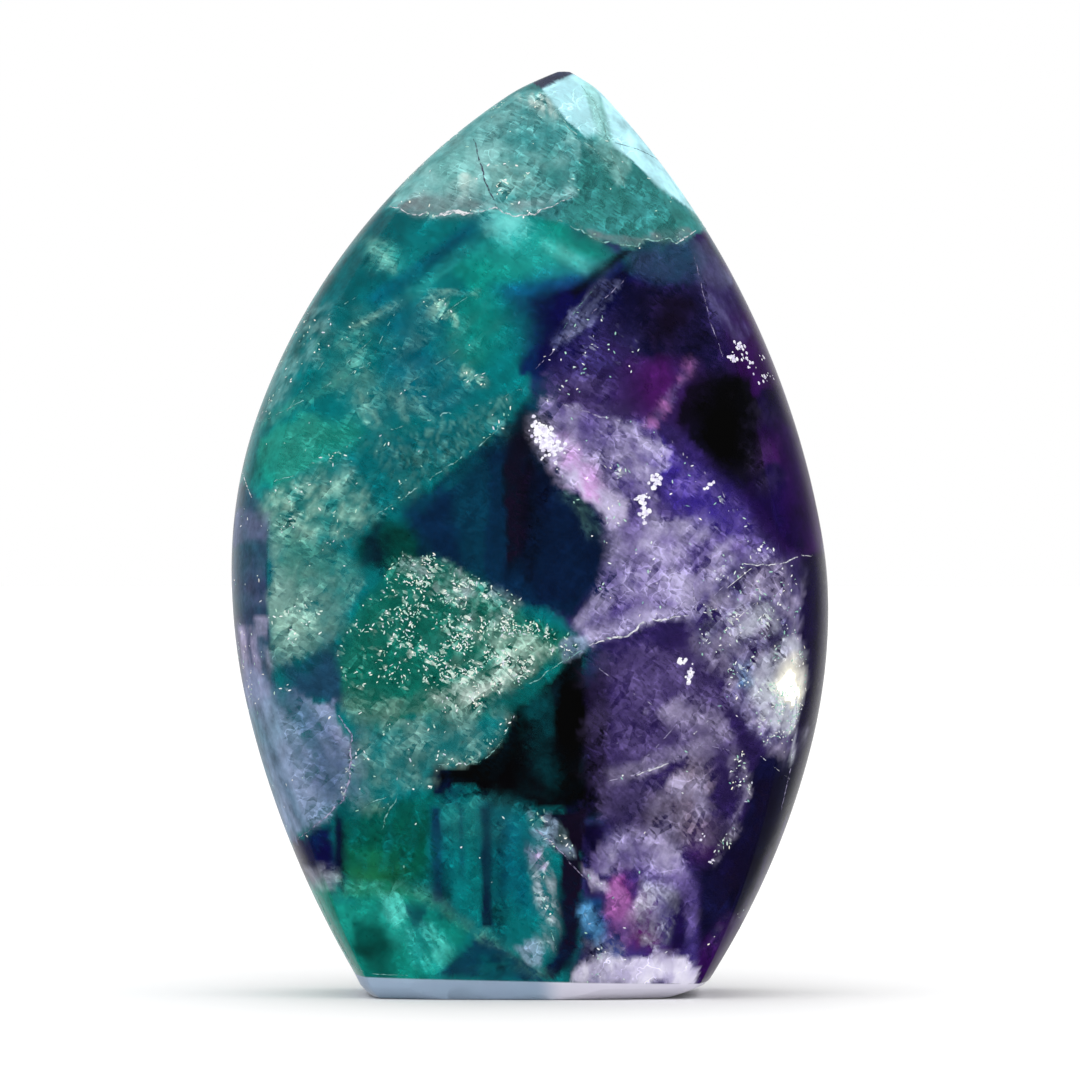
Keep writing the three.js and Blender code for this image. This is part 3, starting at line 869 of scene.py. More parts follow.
        (-6.6, 62.4), (-5, 62), (-4, 60.8), (-5.6, 60.4), (-6.8, 61.2)),
        0.5, 0.5, 0.35, size=0.4, contrast=1, sparkle=0.4),
    SilkPatch("streak_line", Tone.LEDGE_PALE, ((-10, 70), (-5, 69.8), (-5, 69.4), (-10, 69.5)),
              0.25, 0.2, 0.3, size=0.4, contrast=0.9),
    SilkPatch("slant_cloud", Tone.LEDGE, (
        (-17, 75.4), (-15.6, 75.6), (-12.4, 73.2), (-13, 71.4), (-15.8, 72.8)),
        1.3, 0.8, 0.4, size=0.6, turn=-45, pale=Tone.HAMMERED_PALE),
    Patch("ledge", Tone.DARK_TEAL, (
        (-26.2, 50.2), (-23.5, 51.3), (-20.5, 53), (-18, 54.3), (-16.5, 55.8), (-13, 56.1), (-9.5, 57.3),
        (-5, 58.5), (-2.5, 60), (-0.4, 60.6), (-0.2, 59.6), (-2, 58.5), (-2.8, 56.6), (-4.5, 54.8),
        (-7, 53.2), (-10.2, 51), (-13, 48.8), (-15.5, 47.6), (-17.5, 45.6), (-19, 44.9), (-21.5, 45.3),
        (-24, 46.5), (-26, 47.8)),
        0.22, 0.3, 0.6, grain=Grain.HAMMERED, size=0.9, turn=52, contrast=0.45, pale=Tone.HAMMERED,
        sparkle=0.1, fade=25, fade_amount=0.3, edge=0.4),
    Patch("ledge_facets", Tone.HAMMERED_PALE, (
        (-16, 54.6), (-10, 56.4), (-5, 57.8), (-1.4, 59.8), (-2.8, 56.8), (-7, 53.4), (-12, 50)),
        0.8, 0.6, 0.25, grain=Grain.HAMMERED, size=0.6, turn=60, contrast=1, sparkle=0.1),
    CloudPatch("ledge_left", Tone.LEDGE, (
        (-26, 50), (-22, 51.6), (-18, 53), (-15.6, 50.4), (-15.6, 47.6), (-17.5, 45.6), (-19, 44.9),
        (-21.5, 45.3), (-24, 46.5), (-26, 47.8)),
        0.7, 0.5, 0.65, size=0.8, contrast=0.55, pale=Tone.LEDGE_PALE, sparkle=0.3, fade=60,
        fade_amount=0.6),
    Patch("ledge_shadow", Tone.DARK_TEAL, (
        (-15, 54.6), (-10, 56), (-6, 57), (-3.4, 56.2), (-7, 53.6), (-11, 51.4), (-13.4, 50)),
        1.4, 0.8, 0.65, grain=Grain.HAMMERED, size=0.8, turn=55, contrast=0.8),
    CloudPatch("left_haze", Tone.MOSS, (
        (-25.7, 48), (-23, 46), (-19.5, 45), (-17.3, 43), (-16.3, 41), (-17.3, 39), (-18.5, 37),
        (-20, 35), (-22.5, 33.4), (-25.4, 33)),
        0.45, 0.5, 0.62, size=2, contrast=0.35, pale=Tone.HAZE_PALE, sparkle=0.16, fade=-10,
        fade_amount=0.5),
    CloudPatch("left_haze_flecks", Tone.MOSS_PALE, (
        (-24.6, 39.6), (-20, 39.4), (-18.4, 37), (-21, 35.4), (-24.8, 36.2)),
        0.9, 0.6, 0.3, size=0.6, contrast=0.9, sparkle=0.35),
    CloudPatch("strip_block_high", Tone.SLATE_LILAC, (
        (-29.8, 47.6), (-28.5, 48.4), (-25.8, 47.8), (-25.7, 45.4), (-27.5, 45.2), (-29.8, 44.6)),
        0.18, 0.2, 0.8, size=0.9, contrast=0.4, sparkle=0.15),
    CloudPatch("strip_block_low", Tone.LILAC, ((-27.2, 37.7), (-25.8, 37.8), (-25.7, 35.6), (-27, 35.8)),
               0.2, 0.15, 0.55, size=0.6, contrast=0.5),
    SilkPatch("strip_silk", Tone.SLATE_LILAC, (
        (-29.6, 37), (-27.5, 36.6), (-25.9, 34), (-25.6, 30), (-29, 28)),
        0.5, 0.4, 0.7, size=0.6, turn=100, pale=Tone.LILAC, sparkle=0.2),
    CloudPatch("strip_specks", Tone.SLATE_LILAC, ((-29.6, 43.4), (-26.2, 43.4), (-26.2, 39), (-29.6, 39)),
               0.7, 0.4, 0.3, size=0.6, contrast=0.9, sparkle=0.12),
    CloudPatch("sparkle_fan", Tone.FOREST, (
        (-14, 42.8), (-11, 43.2), (-8.3, 43.3), (-6, 42), (-4, 39.9), (-1, 39), (1.5, 37.5), (3.4, 36),
        (3.9, 34.8), (2.3, 33.4), (-1, 31), (-5, 29.3), (-9, 29.8), (-13, 29.6), (-17.5, 30), (-18.4, 31),
        (-19, 34), (-17.5, 37), (-16.5, 39.5)),
        0.5, 0.8, 0.45, size=0.9, pale=Tone.LEDGE, sparkle=1, fade=200, fade_amount=0.6, edge=0.5),
    CloudPatch("fan_crest", Tone.MOSS_PALE, (
        (-12.6, 42.8), (-8.3, 43.3), (-6, 42), (-4, 39.9), (-1, 39), (-3, 37.6), (-7, 38.6), (-10.4, 40.6)),
        0.7, 0.6, 0.3, size=0.7, contrast=1, pale=Tone.SMOKE_PALE, sparkle=1),
    CloudPatch("fan_middle", Tone.MOSS_PALE, ((-8, 37), (-3.6, 38), (-1, 36), (-3, 33.4), (-7, 33)),
               1, 0.8, 0.1, size=0.7, contrast=0.9, pale=Tone.FROST, sparkle=1),
    SilkPatch("fan_flash", Tone.MOSS_PALE, (
        (-3.5, 35), (-1, 36.4), (1.5, 35.4), (2.6, 34), (0.4, 32.4), (-4, 31.4)),
        0.8, 0.6, 0.32, size=0.5, turn=38, contrast=0.8, pale=Tone.FROST, sparkle=0.7),
    SilkPatch("fan_under_band", Tone.HAZE_PALE, (
        (-9.5, 30), (-6, 31.4), (-2, 33), (0.8, 32.6), (-3, 30.2), (-7, 28.8)),
        0.6, 0.5, 0.6, size=0.7, turn=24, pale=Tone.FROST, sparkle=0.15),
    SilkPatch("fan_foot_band", Tone.HAZE, (
        (-18, 30.4), (-12, 30), (-6, 30.6), (-5, 28.4), (-12, 27.8), (-18.4, 28.4)),
        0.9, 0.6, 0.35, size=1, turn=5, contrast=0.4, pale=Tone.MOSS_PALE, sparkle=0.05),
    CloudPatch("fan_haze", Tone.HAZE, (
        (-18.4, 28.4), (-13, 27.9), (-9, 28.8), (-5, 29.2), (-2, 29.8), (-1.8, 28), (-3, 25.8),
        (-4.2, 24.2), (-6.5, 23.2), (-9.2, 23.2), (-9.3, 21.5), (-11.5, 21), (-13, 20.2), (-14, 18.5),
        (-14.7, 16.7), (-15, 18.5), (-17.8, 18.8), (-18.3, 22), (-17.4, 26)),
        0.3, 0.8, 0.42, size=1.2, contrast=0.8, pale=Tone.HAZE_PALE, sparkle=0.16, fade=-40,
        fade_amount=0.4, edge=0.7),
    CloudPatch("haze_edge", Tone.HAZE_PALE, (
        (-9.2, 24.4), (-6, 24.2), (-3.8, 25.6), (-2.2, 28.6), (-1.8, 28), (-3, 25.6), (-4.4, 24),
        (-6.5, 23), (-9.2, 23)), 0.35, 0.4, 0.5, size=0.5, contrast=0.9, sparkle=0.6),
    SilkPatch("haze_streak", Tone.SLATE_LILAC, (
        (-18, 26), (-16.6, 26.6), (-16, 20), (-17, 18.8), (-18, 20)),
        0.7, 0.4, 0.35, size=0.6, turn=85, contrast=0.8),
    SilkPatch("lower_haze", Tone.MOSS, (
        (-9, 19.6), (-5, 19.8), (-0.8, 19), (-1, 15), (-5, 16), (-8.8, 16.4)),
        0.9, 0.6, 0.14, size=0.9, turn=20, contrast=0.8),
    SilkPatch("lilac_sheet", Tone.SHEET, (
        (-29, 33), (-25, 31.5), (-22.5, 29.8), (-19.5, 29.3), (-18.6, 27.5), (-17.6, 25.5), (-17.8, 22.5),
        (-18.2, 20), (-19.5, 18.2), (-21.5, 17), (-23, 15.6), (-24.8, 15.6), (-27, 20), (-29, 26)),
        0.25, 0.6, 0.72, size=2.2, turn=-52, contrast=0.4, pale=Tone.SHEET_PALE, sparkle=0.04, edge=0.3),
    CloudPatch("sheet_dusk", Tone.DUSK, (
        (-21.6, 27.4), (-18.8, 26.6), (-18, 23), (-18.8, 20.4), (-21.4, 21.4)), 1.5, 0.9, 0.6, size=1.6),
    SilkPatch("lilac_edge", Tone.SHEET_PALE, (
        (-19.9, 29.1), (-18.6, 27.6), (-17.4, 25.7), (-17.5, 22.8), (-18.1, 20), (-19.4, 18), (-23, 15.6),
        (-22.5, 16.9), (-19.6, 19), (-18.6, 21), (-18.4, 24), (-19.2, 26.5)),
        0.25, 0.3, 0.16, size=0.6, turn=80, contrast=0.9, pale=Tone.LAVENDER_PALE, sparkle=0.08),
    CloudPatch("fan_cloud", Tone.LAVENDER, (
        (1.3, 58.9), (6, 57.5), (11.5, 56.8), (14, 54), (12, 50), (14, 47.5), (20, 46.5), (24.6, 43.8),
        (20, 42.6), (16.5, 38), (12, 37.4), (8.5, 35.8), (5.9, 35), (4.5, 37.6), (7, 41), (7.9, 44),
        (7, 47.5), (4.5, 50), (2.3, 53)),
        0.4, 0.7, 0.58, size=1.8, contrast=0.75, pale=Tone.LILAC, sparkle=0.08, edge=0.3),
    CloudPatch("fan_top", Tone.MAUVE, ((1.4, 59), (5, 58), (9, 57.2), (7.6, 55), (4, 54.6), (2, 55.4)),
               0.9, 0.5, 0.12, size=1, pale=Tone.MAUVE_PALE),
    CloudPatch("fan_low", Tone.LAVENDER, (
        (7.8, 47), (10.5, 48), (15, 45), (16.6, 41.5), (16.4, 38.3), (12, 37.6), (7, 38), (8, 43)),
        0.6, 0.6, 0.45, size=1.4, contrast=0.35, pale=Tone.LILAC, sparkle=0.1),
    CloudPatch("fan_dark_pocket", Tone.PURPLE, (
        (7.4, 53.4), (9.4, 53.2), (10.4, 51.6), (9.4, 50.4), (7.6, 51)),
        0.6, 0.6, 0.05, size=0.7, sparkle=0.45),
    CloudPatch("fan_light", Tone.LILAC, ((5.6, 55.4), (9.6, 55.2), (10.6, 53), (9, 51.8), (6.6, 52.6)),
               0.9, 0.7, 0.5, size=0.8, contrast=0.7, sparkle=0.1),
    CloudPatch("fan_violet_dust", Tone.VIOLET, (
        (13.6, 55), (16.5, 52), (21, 47.5), (24, 44.4), (20.5, 44), (15, 47.5), (12.6, 51)),
        0.8, 0.5, 0.35, size=0.8, pale=Tone.LAVENDER, sparkle=0.16),
    CloudPatch("fan_edge_specks", Tone.LAVENDER, (
        (14, 54.8), (17.2, 51.8), (20.6, 48.2), (24.4, 44), (22, 44.4), (18.6, 48.4), (15.4, 52)),
        0.5, 0.4, 0.3, size=0.5, contrast=0.9, sparkle=0.45),
    CloudPatch("crust_halo", Tone.LAVENDER_PALE, (
        (0.2, 56.8), (1.8, 56.8), (3.4, 54.2), (2.8, 52.8), (1.2, 53.8), (0.2, 55.4)),
        0.5, 0.4, 0.75, size=0.7, contrast=0.4),
    CloudPatch("fan_pink", Tone.PINK, (
        (3.4, 55), (5, 54), (6.2, 52.6), (7, 50.6), (6.8, 48.7), (5.6, 49.2), (4.3, 51), (3.2, 52.6)),
        0.7, 0.6, 1.05, size=0.9, contrast=0.35, pale=Tone.LAVENDER_PALE, sparkle=0.15),
    CloudPatch("fan_pale", Tone.LAVENDER_PALE, (
        (6.8, 50.6), (8.5, 50), (10, 48.8), (9.8, 47), (8, 46), (7, 47.5)),
        0.4, 0.5, 0.72, size=0.8, contrast=0.4, sparkle=0.1),
    CloudPatch("fan_rim", Tone.LILAC, (
        (5.5, 36.6), (8.5, 37.6), (10.6, 38.6), (14, 38.4), (15.5, 37.8), (12, 37.5), (8.5, 35.8),
        (5.9, 35)), 0.3, 0.3, 0.6, size=0.7, contrast=0.5),
    CloudPatch("fan_tip", Tone.MOSS_PALE, (
        (-3, 36.4), (0.5, 35.8), (2.6, 34.9), (1, 34), (-2, 33.6), (-4.4, 34.6)),
        0.7, 0.6, 0.5, size=0.6, contrast=0.7, sparkle=0.5),
    CloudPatch("fan_link", Tone.SHEET, (
        (2.8, 35.2), (3.8, 36), (5.4, 35.7), (6, 34.9), (4.8, 34.1), (3.4, 33.7)),
        0.2, 0.2, 0.8, size=0.7, contrast=0.3, pale=Tone.SHARD),
    CloudPatch("oval_flecks", Tone.HAZE, ((3.6, 50.4), (6.4, 48.6), (7.4, 45.6), (6, 46), (4, 48.4)),
               0.8, 0.5, 0.3, size=0.6, contrast=0.9, sparkle=0.12),
    CloudPatch("right_haze", Tone.SMOKE, (
        (16.8, 42.6), (19, 43.4), (22, 42.5), (24.8, 42.8), (26.4, 42.3), (26.6, 36), (26.4, 30),
        (26, 25), (24.2, 24.5), (21.5, 26), (20.3, 29), (19, 32.5), (17, 36), (16.6, 38.5)),
        1.1, 1, 0.75, size=1.2, contrast=0.7, pale=Tone.MAUVE_PALE, sparkle=0.4),
    SilkPatch("haze_flash", Tone.SMOKE_PALE, (
        (17.4, 38.4), (20, 40), (24, 38.6), (25, 36), (22, 35), (19, 36)),
        1.4, 0.8, 0.4, size=0.8, turn=40, contrast=1, sparkle=0.45),
    # painted highlight: glint_haze and glint_glow are the painted halo of the glint on the right ridge,
    # glint its bright core and glint_line the bright line below it
    CloudPatch("glint_haze", Tone.SMOKE_PALE, (
        (22.4, 32), (23.8, 35), (25.6, 36.6), (26.4, 34), (26.4, 29), (25.6, 26.6), (24, 27), (22.6, 29.4)),
        1.1, 1, 0.8, size=0.8, contrast=0.8, sparkle=0.8, front_only=True),
    CloudPatch("blue_spark", Tone.BLUE_SPARK, ((20.2, 33), (21.4, 33.2), (21.6, 31.2), (20.6, 31)),
               0.4, 0.3, 0.6, size=0.5),
    CloudPatch("glint_glow", Tone.SMOKE_PALE, (
        (22.8, 31.5), (24.4, 35.2), (26, 36.2), (26.7, 32), (26.5, 28), (25, 26.8), (23.4, 28.6)),
        1, 0.6, 0.5, size=0.5, contrast=0.7, sparkle=0.9, front_only=True),
    Patch("glint", Tone.GLINT, (
        (24.3, 31), (24.9, 33), (26, 33.8), (26.7, 32.4), (26.7, 30), (26.1, 28.6), (25.1, 29.6)),
        0.55, 0.3, 1.6, front_only=True),
    Patch("glint_line", Tone.SMOKE_PALE, (
        (26.1, 29.6), (26.35, 29.6), (26.2, 26), (25.95, 23.4), (25.8, 23.4), (26, 26)),
        0.12, 0.12, 0.9, front_only=True),
    SilkPatch("mauve_veil", Tone.MAUVE, (
        (5.8, 33.8), (9, 34.6), (12, 35.4), (15.5, 33.4), (18.5, 30.6), (19.5, 27.5), (21, 25.5),
        (19.5, 23.5), (16, 25), (12, 23.5), (8, 22), (6, 22.3)),
        0.9, 1, 0.5, size=1.6, turn=-32, contrast=0.7, pale=Tone.MAUVE, sparkle=0.05, fade=200,
        fade_amount=0.6),
    SilkPatch("mauve_arc", Tone.MAUVE_PALE, (
        (11, 28.4), (15, 30), (18.6, 28.6), (20, 26), (17.4, 25.4), (14, 27)),
        0.9, 0.5, 0.5, size=0.7, turn=-22, contrast=0.8, sparkle=0.06),
    SilkPatch("mauve_sill", Tone.MAUVE_PALE, (
        (8, 22.6), (12, 24.4), (16, 25.6), (19, 26), (16, 24), (12, 22.4), (8, 21.4)),
        0.5, 0.4, 0.4, size=0.5, turn=18, contrast=0.7, sparkle=0.12),
    CloudPatch("mauve_dim", Tone.MAUVE, ((6.6, 21.2), (12, 22), (13, 19), (10, 17.4), (6.8, 18)),
               0.8, 0.5, 0.45, size=1, contrast=0.5, sparkle=0.05),
    CloudPatch("mauve_lit", Tone.BEIGE, (
        (13, 22.8), (16, 23.4), (17.8, 21), (17.6, 17.5), (15, 15.5), (13, 18)),
        1.5, 1.1, 0.9, size=1.2, contrast=0.45, pale=Tone.MAUVE_PALE, sparkle=0.08),
    CloudPatch("mauve_rim", Tone.MAUVE_PALE, (
        (20, 25), (21.4, 23), (21.6, 20), (20.6, 17.4), (18.6, 14), (18, 13.2), (19.6, 17), (20.4, 20.5),
        (19.6, 23.4)), 0.35, 0.4, 0.3, size=0.5, contrast=0.9, sparkle=0.55),
    CloudPatch("low_lavender", Tone.LAVENDER, (
        (5.6, 14.5), (7.5, 16.3), (10.5, 17), (13, 16.4), (14.8, 14.5), (15.3, 12.6), (14, 12.2),
        (11.5, 12.9), (9, 12.9), (7, 12.3), (5.8, 12.6)),
        0.45, 0.6, 0.9, size=1.2, contrast=0.4, pale=Tone.LILAC, sparkle=0.06, fade=170, fade_amount=0.3),
    CloudPatch("low_lavender_lit", Tone.MAUVE_PALE, (
        (10.6, 16.4), (13, 16.2), (14.8, 14.2), (14.6, 12.6), (12.6, 13.2)),
        0.6, 0.4, 0.5, size=0.5, contrast=0.8, sparkle=0.25),
    CloudPatch("low_lavender_tail", Tone.LAVENDER, ((11, 12.8), (15, 12.8), (15.6, 10.6), (12.4, 10.4)),
               0.5, 0.4, 0.45, size=0.8),
    CloudPatch("low_rose", Tone.ROSE, (
        (7.2, 11.4), (8.6, 12.2), (9.6, 11), (10.6, 9.2), (9.4, 8.2), (9.8, 6.6), (8.4, 7.4), (7.6, 8.8)),
        0.9, 0.9, 0.6, size=0.8, contrast=0.5, sparkle=0.08),
    CloudPatch("low_blue_spark", Tone.BLUE_SPARK, (
        (5, 8.6), (6, 9.6), (6.4, 8.2), (7.4, 7.2), (6.6, 5.6), (5.8, 6.6), (5.2, 6)),
        0.5, 0.5, 0.95, size=0.6, contrast=0.35, sparkle=0.2),
    CloudPatch("low_pink", Tone.LAVENDER_PALE, ((5.2, 13.2), (6.2, 12.9), (8, 11.3), (7.6, 10.7), (6, 11)),
               0.35, 0.3, 0.65, size=0.6, sparkle=0.3),
    CloudPatch("low_smoke", Tone.SMOKE_PALE, (
        (10.2, 9.6), (11.6, 10.6), (13.2, 9.8), (13.4, 7.6), (12.2, 6.2), (11, 7.2)),
        1.1, 0.9, 0.85, size=0.8, contrast=0.7, sparkle=0.2),
    CloudPatch("low_lilac_column", Tone.LAVENDER, (
        (15.4, 12), (16.3, 11.4), (16.6, 8), (16.1, 5.2), (15.5, 6.4), (15.7, 9)),
        0.5, 0.6, 0.45, size=0.6),
    SilkPatch("low_scatter", Tone.SMOKE_PALE, ((5, 6), (8, 6.2), (9, 4.4), (6, 3.6)),
              0.5, 0.5, 0.35, size=0.4, turn=60, contrast=0.9, sparkle=0.4),
    # partly painted light: the foot strip's own lilac, made paler for the floor's light seen through the
    # chamfer
    CloudPatch("foot_lavender", Tone.FOOT_LILAC, (
        (4.6, 3.5), (7, 4.3), (10, 3.9), (13, 4.7), (15, 4.3), (16.6, 3), (16.2, 1.6), (8, 1.6), (4, 1.7)),
        0.22, 0.25, size=0.9, contrast=0.3, pale=Tone.BRIGHT_FOOT, sparkle=0.1),
    CloudPatch("stripe_sparkle", Tone.HAZE, (
        (-0.6, 18.9), (1.5, 18.9), (3, 17.8), (4.5, 15), (5, 13.2), (3.5, 14.3), (1.8, 15.8), (0, 17.2)),
        0.4, 0.5, 0.5, size=0.7, pale=Tone.SHARD, sparkle=0.45),
    SilkPatch("stripe_silk", Tone.DARK_DUST, (
        (-0.2, 15.3), (1.5, 14.5), (2.3, 12), (2.2, 9.5), (2.8, 7), (2.4, 4.8), (0.8, 5.5), (1.4, 8.5),
        (0.2, 11.5)),
        0.4, 0.4, 0.55, size=0.45, turn=-65, contrast=0.8, pale=Tone.SMOKE_PALE, sparkle=0.35),
    CloudPatch("stripe_rose", Tone.PINK, ((-0.2, 15), (1, 14.8), (1.6, 13.4), (0.6, 13)),
               0.4, 0.3, 0.5, size=0.4, contrast=0.8, sparkle=0.2),
    Patch("right_foot_wine", Tone.DARK_WINE, (
        (16.8, 6), (19, 7.4), (21.4, 8), (20, 4.4), (18.8, 2.2), (17, 2.2)), 0.6, 0.4, 0.6),
    CloudPatch("foot_shard", Tone.SHARD, ((-1.4, 5.2), (0.5, 6.2), (1.5, 5), (0.9, 3.2), (-0.3, 3.8)),
               0.2, 0.2, 0.75, size=0.8, contrast=0.4),
    CloudPatch("right_foot_dust", Tone.MAUVE, (
        (17, 5.2), (18.5, 7), (21.3, 8.6), (21.2, 7.2), (19.2, 5.6), (17.4, 4.8)),
        0.4, 0.4, 0.14, size=0.5, contrast=0.8, pale=Tone.MAUVE_PALE, sparkle=0.3, fade=-45),
    SilkPatch("corner_shine", Tone.AQUA_STREAK, ((-14.6, 10.4), (-13, 10.8), (-12.2, 8.2), (-13, 7.4)),
              0.4, 0.3, 0.6, size=0.5, turn=-62, contrast=0.9),
    SilkPatch("corner_silk", Tone.LIGHT_TEAL, (
        (-12.4, 7.4), (-9, 8), (-7.4, 5.2), (-9.6, 2.8), (-11.6, 3.2)),
        0.6, 0.4, 0.5, size=0.5, turn=-65, contrast=1, pale=Tone.AQUA_STREAK),
    SilkPatch("low_dust", Tone.FOREST, (
        (-18.4, 19), (-10, 19.6), (-1, 19), (-0.6, 8), (-6, 8), (-12, 12), (-18, 12.8)),
        0.9, 0.5, 0.3, size=0.7, turn=86, contrast=0.8, pale=Tone.TEAL, sparkle=0.03),
    Patch("band_left", Tone.SEA_BLUE, ((-9.7, 19.2), (-8.8, 19.4), (-8.6, 9.4), (-9.5, 9.6)),
          0.16, 0.12, 0.75),
    Patch("band_right", Tone.NIGHT, ((-4.8, 19.2), (-3.9, 19.4), (-3.7, 7.2), (-4.6, 7.4)),
          0.16, 0.12, 0.7),
    Patch("band_edge", Tone.NIGHT, ((-19.2, 18.4), (-18.5, 18), (-18.6, 12.8), (-19.1, 12.6)),
          0.15, 0.1, 0.8),
    Patch("band_middle", Tone.SEA_BLUE, ((-7, 19), (-6.5, 19.2), (-6.4, 12), (-6.9, 12)), 0.15, 0.12, 0.45),
    Patch("band_green", Tone.DEEP_GREEN, ((-14.6, 17.8), (-13.4, 18), (-12.6, 12.8), (-14, 12.6)),
          0.8, 0.5, 0.3),
    CloudPatch("foot_sheet", Tone.MOSS, (
        (-21.2, 10.8), (-18.5, 12), (-13.5, 12), (-10, 11), (-7, 8.6), (-3, 6), (2, 2.4), (0.6, 2.4),
        (-3.6, 5.2), (-7.6, 7.6), (-10.6, 9.9), (-14, 10.6), (-19, 10)), 0.6, 0.5, 0.22, size=0.9),
    CloudPatch("corner_cloud", Tone.SMOKE_PALE, (
        (-22.2, 12.6), (-20.6, 13), (-18.8, 12.2), (-19.6, 11.2), (-21.6, 11)), 0.4, 0.3, 0.6, size=0.6),
)


@dataclass(frozen=True)
class Texture:
    """Patterns that the stone's clear and cloudy parts share, at a place in millimetres.

    Side is 1 where the stone turns away from its front and back. Cloud is a broad unevenness. Shards are
    the brightness of fracture faces, small that of the smallest of them, and lines run where faces meet.
    """

    place: Value
    side: Value
    cloud: Value
    shards: Value
    small: Value
    lines: Value


@dataclass(frozen=True)
class StoneFinish:
    """Clear polished fluorite, tinted by its growth colour and clouded by its veils.

    Sizes are in millimetres and turns in degrees. A range is where a smooth step starts and ends. A light
    or a cover in two parts is a least amount and what is added to it.
    """

    index: float = 1.434
    polish: float = 0.03
    wear: float = 0.03
    wear_range: Place = (0.5, 0.8)
    mirror: Colour = (0.07, 0.07, 0.07, 1.0)
    absorbed: Colour = (0.62, 0.80, 0.92, 1.0)
    absorption: float = 6.0
    depth_least: float = 0.55
    depth_cloud: float = 0.7
    depth_range: Place = (0.3, 0.7)
    depth_shards: float = 0.2
    cloud_size: float = 2.6
    cloud_roughness: float = 0.6
    grain_size: float = 0.6
    grain_roughness: float = 0.75
    grain_light: float = 0.5
    side_light: float = 1.8
    veil_gloss: float = 0.4
    veil_sheen: float = 0.04
    # painted highlight: glint is the emission strength and glint_range the paleness at which veil colours
    # glow as the painted glint
    glint: float = 1.2
    glint_range: Place = (0.88, 0.95)
    slant: Place = (0.75, 0.45)
    shards: tuple[Place, Place] = ((52.0, 0.7), (-36.0, 0.26))
    shard_stretch: float = 2.2
    shard_light: Place = (0.2, 0.7)
    shard_range: Place = (0.4, 0.6)
    line_turn: float = 35.0
    line_size: float = 1.5
    line_width: float = 0.05
    line_bend: float = 3.0
    line_range: Place = (0.46, 0.58)
    line_light: float = 0.45
    line_cover: float = 0.3
    fleck_range: Place = (0.84, 0.9)
    fleck_sparkle: Place = (0.05, 0.6)
    fleck_cover: float = 0.75
    glitter_range: Place = (0.0, 0.3)
    glitter_light: Place = (0.85, 1.6)
    pale_range: Place = (0.35, 0.7)
    pale_calm: float = 0.8
    grit_cover: Place = (1.5, 3.0)
    # painted light: the foot band below foot_height is made pale, partly its own grey-blue and partly the
    # floor's light seen through the chamfer
    foot_height: float = 1.85
    foot_slope: float = 0.02
    foot_edge: float = 0.1
    foot_pale_range: Place = (0.5, 3.5)
    foot_cover: float = 0.95
    most_cover: float = 0.98

    def material(self) -> bpy.types.Material:
        """Builds the stone's material."""
        material, graph = new_material("fluorite_stone")
        material.cycles.emission_sampling = "NONE"
        texture = self._texture(graph)
        cloudy, cover = self._veil(graph, texture)
        surface = graph.node("ShaderNodeMixShader", None, [cover, self._clear(graph, texture), cloudy])
        inside = graph.node("ShaderNodeVolumeAbsorption", None, {
            "Color": self.absorbed,
            "Density": self.absorption,
        })
        graph.node("ShaderNodeOutputMaterial", None, {"Surface": surface, "Volume": inside})
        return material

    def _texture(self, graph: Graph) -> Texture:
        """The shared patterns, which are calm on the sides."""
        place = graph.place_mm()
        side = graph.attribute("side")
        calm = 1.0 - side
        cloud = graph.noise(place, self.cloud_size, roughness=self.cloud_roughness)
        across, deep, up = graph.axes(place)
        across, up = across + deep * self.slant[0], up + deep * self.slant[1]
        layers = []
        for turn, size in self.shards:
            cells = self._cells(graph, (across, up), turn, size, "F1", "Color")
            layers.append((graph.axes(cells)[0] - MIDDLE) * calm + MIDDLE)
        large, small = layers
        bend = cloud * self.line_bend
        bent = (across + bend, up - bend)
        edges = self._cells(graph, bent, self.line_turn, self.line_size, "DISTANCE_TO_EDGE", "Distance")
        lines = edges.rise(self.line_width, 0.0) * cloud.rise(*self.line_range) * calm
        return Texture(place, side, cloud, (large + small) * 0.5, small, lines)

    def _cells(self, graph: Graph, flat: tuple[Value, Value], turn: float, size: float, feature: str,
               output: str) -> Value:
        """A pattern of long angular cells.

        Args:
            graph: The material's graph.
            flat: Places across and up in the plane of the front face.
            turn: Degrees that the cells are turned up from the horizontal.
            size: The cells' width.
            feature: What the pattern measures.
            output: The output socket that holds it.

        Returns:
            The pattern.
        """
        turned = graph.node("ShaderNodeMapping", {"vector_type": "TEXTURE"}, {
            "Vector": graph.node("ShaderNodeCombineXYZ", None, flat),
            "Rotation": (0.0, 0.0, math.radians(turn)),
            "Scale": (self.shard_stretch, 1.0, 1.0),
        })
        settings = {"voronoi_dimensions": "2D", "feature": feature}
        return graph.node("ShaderNodeTexVoronoi", settings, {"Vector": turned, "Scale": 1.0 / size}, output)

    def _clear(self, graph: Graph, texture: Texture) -> Value:
        """The clear part of the surface."""
        cloud = texture.cloud.rise(*self.depth_range) * self.depth_cloud
        depth = cloud + texture.shards * self.depth_shards + self.depth_least
        growth = graph.attribute("growth", "Color")
        return graph.node("ShaderNodeBsdfPrincipled", None, {
            "Base Color": graph.mix(1.0, growth, graph.grey(depth), "MULTIPLY"),
            "Roughness": texture.cloud.rise(*self.wear_range) * self.wear + self.polish,
            "IOR": self.index,
            "Transmission Weight": 1.0,
            "Specular Tint": self.mirror,
        })

    def _foot(self, graph: Graph, place: Value) -> tuple[Value, Value]:
        """The ground edge's colour, partly painted light of the floor seen through the chamfer, and where
        it is.
        """
        across, _, up = graph.axes(place)
        colour = graph.mix(across.rise(*self.foot_pale_range), Tone.FOOT_BLUE, Tone.BRIGHT_FOOT)
        above = up + across * self.foot_slope - self.foot_height
        return colour, above.rise(self.foot_edge, -self.foot_edge) * self.foot_cover

